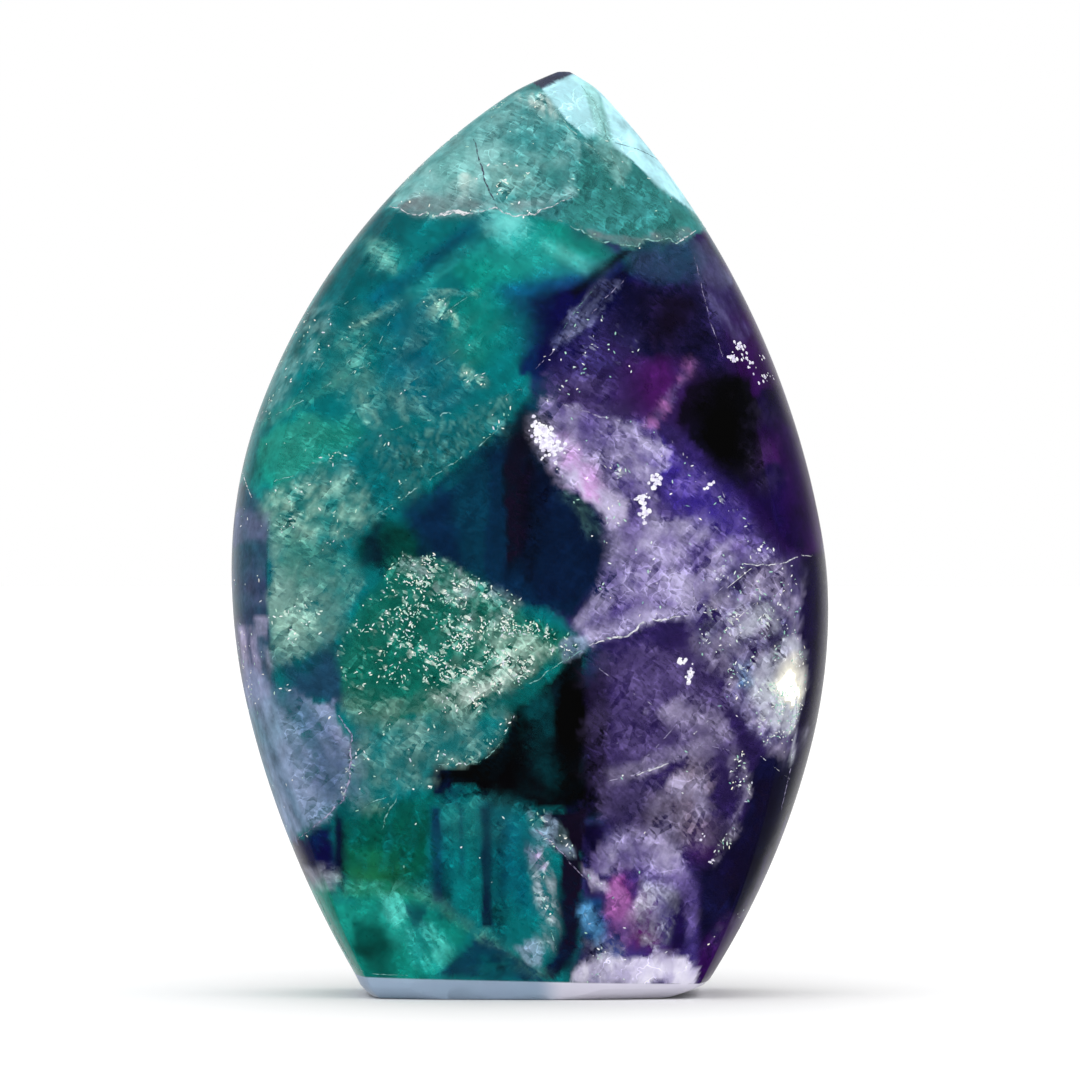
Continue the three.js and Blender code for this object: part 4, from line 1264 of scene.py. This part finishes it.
    def _veil(self, graph: Graph, texture: Texture) -> tuple[Value, Value]:
        """The cloudy part of the surface.

        Args:
            graph: The material's graph.
            texture: The shared patterns.

        Returns:
            The cloudy shader, and how much of the surface it covers.
        """
        veil = graph.attribute("veil", "Color")
        cover = veil.output("Alpha")
        sparkle = graph.attribute("sparkle")
        bright = graph.node("ShaderNodeRGBToBW", None, [veil])
        grain = graph.noise(texture.place, self.grain_size, roughness=self.grain_roughness)
        patches = texture.cloud.rise(*self.shard_range) * self.shard_light[1] + self.shard_light[0]
        relief = (texture.shards - MIDDLE) * patches + (grain - MIDDLE) * self.grain_light
        glitter = sparkle.rise(*self.glitter_range) * self.glitter_light[1] + self.glitter_light[0]
        rough = glitter * (1.0 - bright.rise(*self.pale_range) * self.pale_calm)
        uneven = (texture.cloud - MIDDLE) * texture.side * self.side_light + 1.0
        light = relief * rough + uneven + texture.lines * self.line_light
        # painted glints: tiny bright specks of FLECK colour mixed in where the sparkle attribute is high
        fleck = texture.small.rise(*self.fleck_range) * sparkle.rise(*self.fleck_sparkle)
        dusty = graph.mix(1.0, veil, graph.grey(light), "MULTIPLY")
        foot_colour_and_floor_light, foot = self._foot(graph, texture.place)
        shader = graph.node("ShaderNodeBsdfPrincipled", None, {
            "Base Color": graph.mix(foot, graph.mix(fleck, dusty, Tone.FLECK), foot_colour_and_floor_light),
            "Roughness": self.veil_gloss,
            "IOR": self.index,
            "Specular IOR Level": self.veil_sheen,
            # painted highlight: veil colours as pale as the glint glow by emission, though no lamp is there
            "Emission Color": graph.mix(bright.rise(*self.glint_range), Tone.BLACK, Tone.GLINT),
            "Emission Strength": self.glint,
        })
        grit = relief * cover * (1.0 - cover) * (rough * self.grit_cover[1] + self.grit_cover[0])
        shown = cover + grit + texture.lines * cover * self.line_cover
        shown = shown.math("MAXIMUM", fleck * self.fleck_cover).math("MAXIMUM", foot)
        return shader, shown.math("MINIMUM", self.most_cover)


@dataclass
class FlameStone:
    """The stone's own body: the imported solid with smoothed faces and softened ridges."""

    node: bpy.types.Object
    finish: StoneFinish = field(default_factory=StoneFinish)
    ridge_angle: float = math.radians(16)
    foot_angle: float = math.radians(32)
    ridge_crease: float = 0.75
    flat_angle: float = math.radians(40)
    front_facing: float = -0.6
    across_slope: float = 2.0
    weld: float = 0.001 * MM
    levels: int = 2
    tree: BVHTree | None = field(default=None, init=False)

    def build(self) -> bpy.types.Object:
        """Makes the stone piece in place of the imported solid."""
        mesh = self._smooth_mesh()
        self.tree = BVHTree.FromPolygons([v.co for v in mesh.vertices], [p.vertices for p in mesh.polygons])
        painter = Painter(mesh)
        painter.growth(Tone.TEAL, GROWTH)
        painter.veils(VEILS)
        mesh.materials.clear()
        mesh.materials.append(self.finish.material())
        stone = link_piece(mesh)
        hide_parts(STONE_NODE)
        return stone

    def _smooth_mesh(self) -> bpy.types.Mesh:
        """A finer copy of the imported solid, its ridges kept by creases."""
        mesh = self.node.data.copy()
        work = bmesh.new()
        work.from_mesh(mesh)
        bmesh.ops.remove_doubles(work, verts=work.verts, dist=self.weld)
        bmesh.ops.join_triangles(work, faces=work.faces, angle_face_threshold=self.ridge_angle,
                                 angle_shape_threshold=self.flat_angle)
        self._crease(work)
        front = [face for face in work.faces if face.normal.y < self.front_facing]
        edges = dict.fromkeys(edge for face in front for edge in face.edges)
        level = [edge for edge in edges if self._runs_across(edge)]
        bmesh.ops.subdivide_edges(work, edges=level, cuts=1, use_grid_fill=True)
        work.to_mesh(mesh)
        work.free()
        holder = link_piece(mesh)
        finer = holder.modifiers.new("finer", "SUBSURF")
        finer.levels = finer.render_levels = self.levels
        smooth_mesh = finished_mesh(holder)
        bpy.data.objects.remove(holder)
        bpy.data.meshes.remove(mesh)
        smooth_mesh.name = "polished_stone"
        return smooth_mesh

    def _crease(self, work: bmesh.types.BMesh) -> None:
        """Shades faces smooth and creases the ridges and the foot's edges."""
        crease = work.edges.layers.float.new("crease_edge")
        for face in work.faces:
            face.smooth = True
        for edge in work.edges:
            angle = edge.calc_face_angle(0.0)
            if angle > self.foot_angle:
                edge[crease] = 1.0
            elif angle > self.ridge_angle:
                edge[crease] = self.ridge_crease

    def _runs_across(self, edge: bmesh.types.BMEdge) -> bool:
        """True if an edge runs mostly from left to right."""
        run = edge.verts[1].co - edge.verts[0].co
        return abs(run.x) > self.across_slope * abs(run.z)

    def front(self, place: Place) -> tuple[Vector, Vector] | None:
        """The point of the front face at a place of the front view.

        Args:
            place: Millimetres across and up.

        Returns:
            The point in metres and the face's direction there, or None beside the stone.
        """
        start = Vector((place[0] * MM, -1.0, place[1] * MM))
        point, normal, *_ = self.tree.ray_cast(start, Vector((0, 1, 0)))
        return None if point is None else (point, normal)


def finished_mesh(holder: bpy.types.Object) -> bpy.types.Mesh:
    """An object's mesh with its modifiers applied, as a mesh of its own."""
    return bpy.data.meshes.new_from_object(holder.evaluated_get(bpy.context.evaluated_depsgraph_get()))


def link_piece(mesh: bpy.types.Mesh) -> bpy.types.Object:
    """Puts a mesh in the scene as an object of the same name."""
    piece = bpy.data.objects.new(mesh.name, mesh)
    bpy.context.scene.collection.objects.link(piece)
    return piece


CRACK_GRAIN = 0.5
CRACK_COLOUR_RANGE = (0.35, 0.65)
CRACK_COVER_RANGE = (0.35, 0.6)
CRACK_COVER = (0.1, 0.7)
CRACK_ROUGHNESS = (0.2, 0.4)


class CrackFinish(Enum):
    """The look of a crack: the colours between which it varies."""

    WHITE = (Tone.SMOKE_PALE, Tone.WHITE)
    PALE = (Tone.MOSS, Tone.CLOUD_PALE)
    LILAC = (Tone.MAUVE, Tone.LILAC)
    DARK = (Tone.NIGHT, Tone.CHIP)

    def material(self) -> bpy.types.Material:
        """Builds the crack's material."""
        material, graph = new_material(f"crack_{self.name.lower()}")
        grain = graph.noise(graph.place_mm(), CRACK_GRAIN)
        graph.surface({
            "Base Color": graph.mix(grain.rise(*CRACK_COLOUR_RANGE), *self.value),
            "Roughness": grain * CRACK_ROUGHNESS[1] + CRACK_ROUGHNESS[0],
            "Alpha": grain.rise(*CRACK_COVER_RANGE) * CRACK_COVER[1] + CRACK_COVER[0],
        })
        return material


@dataclass(frozen=True)
class Crack:
    """A crack that shows as a thin broken line in the front face.

    The line's corners are in millimetres across and up. Width is its greatest width, jitter how far it
    wanders and gaps the share of it that is missing.
    """

    line: Outline
    width: float = 0.22
    jitter: float = 0.25
    gaps: float = 0.25


CRACKS = {
    CrackFinish.WHITE: (
        Crack((
            (-14, 78.3), (-11.8, 77.7), (-10, 77.5), (-6.2, 77.6), (-5, 77.9), (-3.5, 78), (-1.6, 77.4),
            (-0.2, 77.4), (1.5, 78), (4.2, 79.2)), 0.34, 0.3, 0.12),
        Crack(((-9, 77.5), (-7.8, 77.8), (-6.2, 77.7)), 0.75, 0.2, 0),
        Crack(((14.4, 74.6), (15.4, 75.2), (16.4, 76)), 0.3, 0.1, 0),
        Crack(((-28.6, 52), (-27.5, 49.5)), 0.16, 0.03, 0),
        Crack(((5.8, 35), (7.5, 35.5), (9.8, 36), (11, 37.2), (13.5, 37.6), (15.6, 37.9)), 0.36, 0.3, 0.1),
        Crack(((20.6, 43), (23.5, 42.9), (25, 43.1), (26.4, 43.6), (28, 43.8)), 0.22, 0.2, 0.1),
        Crack(((10.4, 22.2), (12.2, 22.9), (13.6, 23.4)), 0.3, 0.1, 0),
        Crack(((12, 22.6), (15, 25.2), (17.5, 27.6)), 0.12, 0.06, 0.4),
        Crack(((22, 24.6), (26, 21.4)), 0.1, 0.05, 0.4),
        Crack(((18.6, 36), (22.4, 39.4)), 0.12, 0.06, 0.4),
        Crack(((19.4, 40.6), (22.6, 43.2)), 0.12, 0.05, 0.35),
    ),
    CrackFinish.PALE: (
        Crack((
            (2.5, 76.4), (2.8, 76.9), (4.6, 76.1), (6.5, 75.1), (8.8, 74.5), (10.7, 74.2), (11.3, 75),
            (13.7, 75.1), (14.5, 74.6), (16.3, 75.9)), 0.3, 0.3, 0.15),
        Crack(((4.8, 91), (6.5, 88.6), (7.4, 86.3), (8.1, 83.6), (9, 81.4), (9.4, 80.2)), 0.24, 0.15, 0.1),
        Crack(((2.6, 88.4), (3.6, 86.6), (5, 85.3), (6.4, 84), (8, 82.6)), 0.24, 0.15, 0.1),
        Crack((
            (-26.8, 50.6), (-23.5, 51.6), (-20.5, 53.2), (-18, 54.4), (-16, 56), (-13, 56.2), (-9, 57.4),
            (-4, 58.8), (0, 60.4)), 0.2, 0.3, 0.45),
        Crack(((-2.6, 56.8), (-4.5, 54.9), (-7, 53.2), (-10.2, 51), (-13, 48.9), (-15.5, 47.6)),
              0.18, 0.2, 0.3),
        Crack(((-26.4, 57), (-22.5, 59), (-18.4, 61.4), (-14, 63.6)), 0.12, 0.15, 0.4),
        Crack(((5.3, 34.6), (3, 33.3), (0.5, 31.4), (-1, 30.7)), 0.2, 0.2, 0.2),
        Crack(((-1.7, 28), (-2.6, 26), (-3.5, 24.6), (-5, 23.5), (-9, 23.3)), 0.22, 0.25, 0.2),
        Crack(((-13, 20.4), (-13.8, 18.8), (-14.6, 16.8)), 0.22, 0.2, 0.1),
        Crack(((-16.4, 19), (-15, 19.8), (-13.6, 20.2)), 0.2, 0.2, 0.1),
        # painted highlight: the bright line along the lower-left facet edge, drawn as a crack
        Crack(((-21.2, 10.3), (-19, 5.6), (-17.6, 3.2), (-15.8, 2.5), (-12, 2.4)), 0.14, 0.04, 0.15),
        Crack(((6.6, 70.4), (4.6, 68), (3.2, 66)), 0.14, 0.1, 0.3),
        Crack(((0.2, 11.6), (1.6, 9.4), (2.2, 7), (2.6, 5)), 0.2, 0.2, 0.3),
        Crack(((-22, 66), (-19.6, 67.8), (-17, 69.4)), 0.12, 0.08, 0.35),
        Crack(((-20, 60.4), (-17.4, 63.4), (-14.6, 66)), 0.1, 0.08, 0.4),
        Crack(((-16, 62), (-14.4, 65.6), (-12.6, 69)), 0.1, 0.06, 0.4),
        Crack(((-24, 58), (-21.4, 61.4), (-19, 64.6)), 0.1, 0.08, 0.4),
        Crack(((-12, 60.6), (-9.4, 62.4), (-7, 64)), 0.1, 0.08, 0.35),
        Crack(((-10, 66.6), (-5.6, 69.6)), 0.1, 0.06, 0.4),
    ),
    CrackFinish.LILAC: (
        Crack(((-19.6, 29.1), (-17.5, 26.3), (-17.7, 22.4), (-18.3, 19.8), (-20.4, 17.8), (-23, 15.6)),
              0.3, 0.25, 0.1),
        Crack(((15.9, 41), (16.2, 39.6), (16.4, 38)), 0.4, 0.2, 0.1),
        # painted highlight: the bright line of light down the right ridge below the glint, drawn as a crack
        Crack(((26.3, 30.3), (26.2, 26.3), (25.9, 23.6), (25.3, 20.6), (24.8, 18.6)), 0.16, 0.08),
        Crack(((7.6, 21.6), (10.4, 22.4), (13.4, 23.6), (16, 24.6), (18.4, 25.8)), 0.3, 0.2, 0.2),
        Crack(((5.4, 33.8), (9, 31), (13, 28.6), (18, 26.4)), 0.14, 0.15, 0.5),
        Crack(((1.5, 59.2), (4.5, 58.2), (7, 57.4), (11.5, 56.6)), 0.24, 0.12, 0.2),
        Crack(((12.4, 56.3), (15.5, 53.4), (18, 51), (21, 47.4), (24.4, 43.6)), 0.16, 0.25, 0.5),
        # painted highlight: the bright line of light along the upper right ridge, drawn as a crack
        Crack(((16.2, 73.6), (17, 70.2), (17.9, 66.6), (19, 63.4)), 0.16, 0.1, 0.2),
        Crack(((0, 17.4), (2.5, 15.4), (4.2, 13.4), (5.6, 12)), 0.24, 0.15, 0.1),
        Crack(((10, 71.6), (7, 68.6), (4, 65.6), (0, 61.6)), 0.14, 0.15, 0.35),
        Crack(((11, 23.5), (14, 26.8)), 0.14, 0.06, 0.3),
        Crack(((6, 24.6), (11, 26.2)), 0.12, 0.08, 0.4),
        Crack(((14.5, 26), (19.6, 24.6)), 0.12, 0.08, 0.3),
        Crack(((20.5, 34), (22.6, 30.6), (24.6, 27.5)), 0.14, 0.06, 0.3),
        Crack(((20.8, 28), (24.4, 24.2)), 0.12, 0.06, 0.35),
        Crack(((17.6, 39.4), (20.2, 41.8)), 0.12, 0.05, 0.3),
    ),
    CrackFinish.DARK: (
        Crack(((-5.6, 85.2), (-4.9, 82.6), (-4.2, 80.4), (-3.4, 78.4)), 0.3, 0.15, 0),
        Crack(((8.5, 84.8), (10.5, 84.2), (12.7, 83.3)), 0.14, 0.05, 0),
    ),
}


@dataclass
class CrackSet:
    """All cracks of one finish, as one piece of narrow ribbons let into the front face."""

    finish: CrackFinish
    cracks: Sequence[Crack]
    step: float = 0.22
    proud: float = 0.02
    thickness: float = 0.08
    half_width: float = 0.28
    unevenness: Place = (0.4, 1.2)
    tip_width: float = 0.35
    tip_growth: float = 3.0
    gap_fineness: float = 1.3
    gap_layer: float = 5.0
    gap_spread: float = 0.6
    gap_middle: float = 0.5
    gap_margin: float = 0.08
    seed: int = 17

    def build(self, stone: FlameStone) -> bpy.types.Object:
        """Makes the ribbons along the stone's front face."""
        work = bmesh.new()
        chance = random.Random(self.seed)
        for crack in self.cracks:
            self._add_ribbon(work, stone, crack, chance)
        mesh = bpy.data.meshes.new(f"cracks_{self.finish.name.lower()}")
        bmesh.ops.recalc_face_normals(work, faces=work.faces)
        work.to_mesh(mesh)
        work.free()
        mesh.materials.append(self.finish.material())
        return link_piece(mesh)

    def _add_ribbon(self, work: bmesh.types.BMesh, stone: FlameStone, crack: Crack,
                    chance: random.Random) -> None:
        """Adds one crack as short closed stretches with gaps between them."""
        line = jagged_line(crack.line, self.step, crack.jitter)
        last = len(line) - 1
        ring: list[bmesh.types.BMVert] = []
        for number, (x, z) in enumerate(line):
            hit = stone.front((x, z))
            if hit is None or self._is_gap(x, z, crack):
                self._close(work, ring)
                ring = []
                continue
            ahead = Vector(line[min(number + 1, last)]) - Vector(line[max(number - 1, 0)])
            taper = min(1.0, self.tip_width + self.tip_growth * min(number, last - number) / max(last, 1))
            half = crack.width * self.half_width * taper * chance.uniform(*self.unevenness)
            side = Vector((ahead.y, 0.0, -ahead.x)).normalized() * half * MM
            point, normal = hit
            top, bottom = point + normal * self.proud * MM, point - normal * self.thickness * MM
            corners = (top + side, top - side, bottom - side, bottom + side)
            new_ring = [work.verts.new(corner) for corner in corners]
            if ring:
                for i, after in enumerate((1, 2, 3, 0)):
                    work.faces.new((ring[i], ring[after], new_ring[after], new_ring[i]))
            else:
                work.faces.new(new_ring)
            ring = new_ring
        self._close(work, ring)

    def _is_gap(self, x: float, z: float, crack: Crack) -> bool:
        """True where a crack is missing."""
        drift = noise.noise(Vector((x, z, self.gap_layer)) * self.gap_fineness) * self.gap_spread
        return drift + self.gap_middle < crack.gaps + self.gap_margin

    @staticmethod
    def _close(work: bmesh.types.BMesh, ring: list[bmesh.types.BMVert]) -> None:
        """Closes the end of a stretch, or removes one that never began."""
        if not ring:
            return
        if all(len(vert.link_faces) == 1 for vert in ring):
            bmesh.ops.delete(work, geom=ring, context="VERTS")
        else:
            work.faces.new(reversed(ring))


@dataclass(frozen=True)
class Wander:
    """One part of a line's wandering: where in the noise it is read, how fine it is and how strong."""

    layer: float
    fineness: float
    share: float

    def at(self, x: float, z: float) -> float:
        """The wandering at a place."""
        return self.share * noise.noise(Vector((x, z, self.layer)) * self.fineness)


WANDERS = (Wander(3.7, 0.9, 1.0), Wander(9.1, 3.1, 0.6))


def jagged_line(corners: Outline, step: float, jitter: float) -> list[Place]:
    """Divides an open line into short steps that wander off it.

    Args:
        corners: The line's corners, in millimetres.
        step: The length of a step.
        jitter: How far a point may wander.

    Returns:
        The finer line.
    """
    line = []
    for start, end in zip(corners, corners[1:]):
        length = math.dist(start, end)
        count = max(1, round(length / step))
        across = ((end[1] - start[1]) / length, (start[0] - end[0]) / length)
        for i in range(count):
            x, z = (start[k] + (end[k] - start[k]) * i / count for k in (0, 1))
            off = jitter * sum(wander.at(x, z) for wander in WANDERS)
            line.append((x + across[0] * off, z + across[1] * off))
    return [*line, tuple(corners[-1])]


@dataclass(frozen=True)
class GrainCluster:
    """A crust of white crystal grains: its middle, spread, tilt in degrees, count and grain size."""

    middle: Place
    spread: Place
    turn: float
    count: int
    grain: float = 0.2


CLUSTERS = (
    GrainCluster((1.3, 55.6), (0.45, 0.7), 25, 110),
    GrainCluster((2.2, 54.4), (0.5, 0.6), 20, 70, 0.18),
    GrainCluster((11.1, 49.5), (0.45, 0.16), 0, 16),
    GrainCluster((11.1, 48.3), (0.2, 0.6), 10, 30),
    GrainCluster((11.6, 48.2), (0.2, 0.2), 0, 8),
    GrainCluster((12.4, 51.1), (0.25, 0.4), -20, 26),
    GrainCluster((14.9, 33.4), (0.22, 0.22), 0, 12),
    GrainCluster((15.7, 32.1), (0.2, 0.4), -15, 20),
    GrainCluster((20.7, 64.5), (0.25, 0.3), 30, 14, 0.17),
    GrainCluster((20.1, 63.3), (0.35, 0.25), -30, 16, 0.17),
    GrainCluster((21.6, 62.8), (0.55, 0.22), -45, 20, 0.17),
    GrainCluster((23.5, 63.7), (0.3, 0.3), 0, 14, 0.17),
    GrainCluster((24.4, 61.6), (0.5, 0.3), -50, 16, 0.15),
    GrainCluster((23.1, 61.2), (0.3, 0.2), 20, 8, 0.15),
    GrainCluster((17.6, 50.8), (0.2, 0.15), 40, 6, 0.14),
    GrainCluster((22.6, 44.3), (0.25, 0.12), 40, 8, 0.13),
    GrainCluster((17.1, 16.2), (0.12, 0.15), 0, 4, 0.12),
    GrainCluster((17.8, 13.7), (0.15, 0.12), 0, 5, 0.12),
)


@dataclass
class WhiteGrains:
    """The white crusts that sit in the front face."""

    clusters: Sequence[GrainCluster]
    flatness: float = 0.22
    unevenness: float = 0.45
    fineness: float = 1.7
    sizes: Place = (0.45, 1.4)
    least_facing: float = 0.3
    speckle_size: float = 0.4
    speckle_range: Place = (0.35, 0.7)
    roughness: Place = (0.3, 0.4)
    seed: int = 29

    def build(self, stone: FlameStone) -> bpy.types.Object:
        """Makes all grains as one piece of small flattened lumps."""
        work = bmesh.new()
        chance = random.Random(self.seed)
        for cluster in self.clusters:
            for place, radius in self._scatter(cluster, chance):
                hit = stone.front(place)
                if hit and -hit[1].y > self.least_facing:
                    self._add_lump(work, *hit, radius * MM)
        mesh = bpy.data.meshes.new("white_grains")
        work.to_mesh(mesh)
        work.free()
        mesh.materials.append(self._material())
        return link_piece(mesh)

    def _scatter(self, cluster: GrainCluster, chance: random.Random) -> Iterable[tuple[Place, float]]:
        """Each grain's place and radius in millimetres, thickest in the cluster's middle."""
        angle = math.radians(cluster.turn)
        for _ in range(cluster.count):
            along, up = (chance.gauss(0.0, spread) for spread in cluster.spread)
            x = cluster.middle[0] + along * math.cos(angle) - up * math.sin(angle)
            z = cluster.middle[1] + along * math.sin(angle) + up * math.cos(angle)
            yield (x, z), cluster.grain * chance.uniform(*self.sizes)

    def _add_lump(self, work: bmesh.types.BMesh, point: Vector, normal: Vector, radius: float) -> None:
        """Adds one flattened, uneven lump at a point of the surface."""
        lump = bmesh.ops.create_icosphere(work, subdivisions=1, radius=1.0)["verts"]
        turn = normal.to_track_quat("Z", "Y").to_matrix().to_4x4()
        size = Matrix.Diagonal((radius, radius, radius * self.flatness, 1.0))
        for vert in lump:
            vert.co *= 1 + self.unevenness * noise.noise(vert.co * self.fineness + point / MM)
            vert.co = Matrix.Translation(point) @ turn @ size @ vert.co

    def _material(self) -> bpy.types.Material:
        """Builds the grains' sugary white material."""
        material, graph = new_material("white_grain")
        speckle = graph.noise(graph.place_mm(), self.speckle_size)
        graph.surface({
            "Base Color": graph.mix(speckle.rise(*self.speckle_range), Tone.WHITE, Tone.LAVENDER_PALE),
            "Roughness": speckle * self.roughness[1] + self.roughness[0],
        })
        return material


@dataclass
class Sparkles:
    """Tiny bright cleavage flakes, strewn over the stone where its sparkle attribute says."""

    flake_radius: float = 0.1 * MM
    flake_depth: float = 0.05 * MM
    density: float = 3.0e7
    smallest: Vector = Vector((0.2, 0.3, 1.0))
    largest: Vector = Vector((0.9, 2.4, 1.0))
    corners: int = 5
    tilt: float = 0.3
    gathering: float = 1.6
    roughness: Place = (0.15, 0.3)
    seed: int = 11

    def build(self, stone: bpy.types.Object) -> bpy.types.Object:
        """Strews the flakes over a copy of the stone's mesh and makes them one plain mesh."""
        holder = link_piece(stone.data.copy())
        strew = holder.modifiers.new("strew", "NODES")
        strew.node_group = self._tree()
        sizes = {"Radius": self.flake_radius, "Depth": self.flake_depth, "Density": self.density}
        for item in strew.node_group.interface.items_tree:
            if item.name in sizes:
                strew[item.identifier] = sizes[item.name]
        mesh = finished_mesh(holder)
        holder.modifiers.remove(strew)
        spare = holder.data
        bpy.data.objects.remove(holder)
        bpy.data.meshes.remove(spare)
        mesh.name = "sparkles"
        return link_piece(mesh)

    def _tree(self) -> bpy.types.NodeTree:
        """The node tree that strews the flakes."""
        tree = bpy.data.node_groups.new("strew_flakes", "GeometryNodeTree")
        tree.interface.new_socket("Geometry", in_out="INPUT", socket_type="NodeSocketGeometry")
        for name in ("Radius", "Depth", "Density"):
            tree.interface.new_socket(name, in_out="INPUT", socket_type="NodeSocketFloat")
        tree.interface.new_socket("Geometry", in_out="OUTPUT", socket_type="NodeSocketGeometry")
        graph = Graph(tree)
        given = graph.node("NodeGroupInput", output="Geometry")
        sparkle = graph.node("GeometryNodeInputNamedAttribute", {"data_type": "FLOAT"}, {"Name": "sparkle"},
                             "Attribute")
        points = graph.node("GeometryNodeDistributePointsOnFaces", {"distribute_method": "RANDOM"}, {
            "Mesh": given,
            "Density": given.output("Density") * sparkle.math("POWER", self.gathering),
            "Seed": self.seed,
        }, "Points")
        flake = graph.node("GeometryNodeMeshCylinder", None, {
            "Vertices": self.corners,
            "Radius": given.output("Radius"),
            "Depth": given.output("Depth"),
        }, "Mesh")
        turn = graph.node("FunctionNodeRandomValue", {"data_type": "FLOAT_VECTOR"}, {
            0: (-self.tilt, -self.tilt, -math.pi),
            1: (self.tilt, self.tilt, math.pi),
            "Seed": self.seed + 1,
        })
        size = graph.node("FunctionNodeRandomValue", {"data_type": "FLOAT_VECTOR"}, {
            0: self.smallest,
            1: self.largest,
            "Seed": self.seed + 2,
        })
        placed = graph.node("GeometryNodeInstanceOnPoints", None, {
            "Points": points,
            "Instance": flake,
            "Rotation": graph.node("FunctionNodeRotateRotation", {"rotation_space": "LOCAL"},
                                   [points.output("Rotation"), turn]),
            "Scale": size,
        })
        tint = graph.node("FunctionNodeRandomValue", {"data_type": "FLOAT"}, {"Seed": self.seed + 3}, 1)
        settings = {"data_type": "FLOAT", "domain": "INSTANCE"}
        tinted = graph.node("GeometryNodeStoreNamedAttribute", settings, {
            "Geometry": placed,
            "Name": "tint",
            "Value": tint,
        })
        real = graph.node("GeometryNodeRealizeInstances", None, [tinted])
        dressed = graph.node("GeometryNodeSetMaterial", None, {
            "Geometry": real,
            "Material": self._material(),
        })
        graph.node("NodeGroupOutput", None, [dressed])
        return tree

    def _material(self) -> bpy.types.Material:
        """Builds the flakes' material, white with a few green and yellow ones."""
        material, graph = new_material("sparkle_flake")
        tint = graph.attribute("tint")
        stops = [(0.0, Tone.HAMMERED_PALE), (0.25, Tone.LEDGE_PALE), (0.5, Tone.FROST), (0.7, Tone.WHITE),
                 (0.82, Tone.GLINT), (0.94, Tone.SMOKE_PALE)]
        graph.surface({
            "Base Color": graph.node("ShaderNodeValToRGB", {"stops": stops}, [tint]),
            "Roughness": tint * self.roughness[1] + self.roughness[0],
        })
        return material


@dataclass
class Studio:
    """A pale floor, a white surround with darker flags at its sides, and the camera before the stone."""

    frame_mm: float = 108.0
    centre: Place = (1.0, 45.3)
    distance: float = 0.7
    sensor: float = 36.0
    level: float = 1.0
    clip: float = 0.01
    flags: float = 0.25
    sky: float = 1.8
    back_range: Place = (0.68, 0.95)
    front_range: Place = (0.0, 0.6)
    sky_range: Place = (0.45, 0.85)
    floor_reach: float = 6.0
    floor_drop: float = 0.05 * MM
    floor_greys: Place = (0.88, 0.92)
    floor_grain: float = 30.0
    floor_detail: float = 2.0
    bounces: int = 5
    diffuse_bounces: int = 2
    glossy_bounces: int = 3

    def build(self) -> None:
        """Sets up the floor, the surround and the camera."""
        self._floor()
        self._surround()
        self._camera()
        scene = bpy.context.scene
        scene.view_settings.view_transform = "Standard"
        scene.cycles.max_bounces = self.bounces
        scene.cycles.transmission_bounces = self.bounces
        scene.cycles.diffuse_bounces = self.diffuse_bounces
        scene.cycles.glossy_bounces = self.glossy_bounces

    def _camera(self) -> None:
        """A long lens level with the middle of the stone."""
        data = bpy.data.cameras.new("camera")
        data.sensor_width = self.sensor
        data.lens = self.sensor * self.distance / (self.frame_mm * MM)
        data.clip_start = self.clip
        camera = bpy.data.objects.new("camera", data)
        camera.location = (self.centre[0] * MM, -self.distance, self.centre[1] * MM)
        camera.rotation_euler = (math.pi / 2, 0, 0)
        bpy.context.scene.collection.objects.link(camera)
        bpy.context.scene.camera = camera

    def _floor(self) -> None:
        """A wide pale floor just under the foot."""
        mesh = bpy.data.meshes.new("floor")
        sides = ((-1, -1), (1, -1), (1, 1), (-1, 1))
        corners = [(x * self.floor_reach, y * self.floor_reach, -self.floor_drop) for x, y in sides]
        mesh.from_pydata(corners, [], [range(len(corners))])
        material, graph = new_material("floor_paint")
        grain = graph.noise(graph.place_mm(), self.floor_grain, self.floor_detail)
        greys = [(grey, grey, grey, 1.0) for grey in self.floor_greys]
        graph.surface({
            "Base Color": graph.mix(grain, *greys),
            "Roughness": 1.0,
            "Specular IOR Level": 0.0,
        })
        mesh.materials.append(material)
        floor = link_piece(mesh)
        floor.visible_transmission = False
        floor.visible_glossy = False
        floor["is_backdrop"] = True

    def _surround(self) -> None:
        """Light from front, back and above, between dark flags at the sides and before a white backdrop."""
        world = bpy.data.worlds.new("surround")
        world.use_nodes = True
        bpy.context.scene.world = world
        graph = Graph(world.node_tree)
        direction = graph.node("ShaderNodeTexCoord", output="Generated")
        _, back, height = graph.axes(direction)
        facing = back.rise(*self.back_range) + (back * -1.0).rise(*self.front_range)
        strength = facing * (self.level - self.flags) + self.flags
        strength = strength + height.rise(*self.sky_range) * (self.sky - strength)
        white = (1.0, 1.0, 1.0, 1.0)
        light = graph.node("ShaderNodeBackground", None, {"Color": white, "Strength": strength})
        backdrop = graph.node("ShaderNodeBackground", None, {"Color": white, "Strength": self.level})
        seen = graph.node("ShaderNodeLightPath", output="Is Camera Ray")
        surface = graph.node("ShaderNodeMixShader", None, [seen, light, backdrop])
        graph.node("ShaderNodeOutputWorld", None, {"Surface": surface})


def finish_piece(piece: bpy.types.Object) -> None:
    """Puts a piece on the stone's body and logs its face count."""
    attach(piece, BODY)
    LOG.info("piece %s: %d faces", piece.name, len(piece.data.polygons))


def main() -> None:
    """Builds the stone and everything in it, then the studio."""
    logging.basicConfig(level=logging.INFO, format="%(message)s")
    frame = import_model()
    solid_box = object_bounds()
    stone = FlameStone(frame["nodes"][STONE_NODE])
    body = stone.build()
    finish_piece(body)
    finish_piece(Sparkles().build(body))
    for finish, cracks in CRACKS.items():
        finish_piece(CrackSet(finish, cracks).build(stone))
    finish_piece(WhiteGrains(CLUSTERS).build(stone))
    Studio().build()
    boxes = {"cad": solid_box, "visual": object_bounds()}
    {name: [list(corner) for corner in box] for name, box in boxes.items()}


if __name__ == "__main__":
    main()
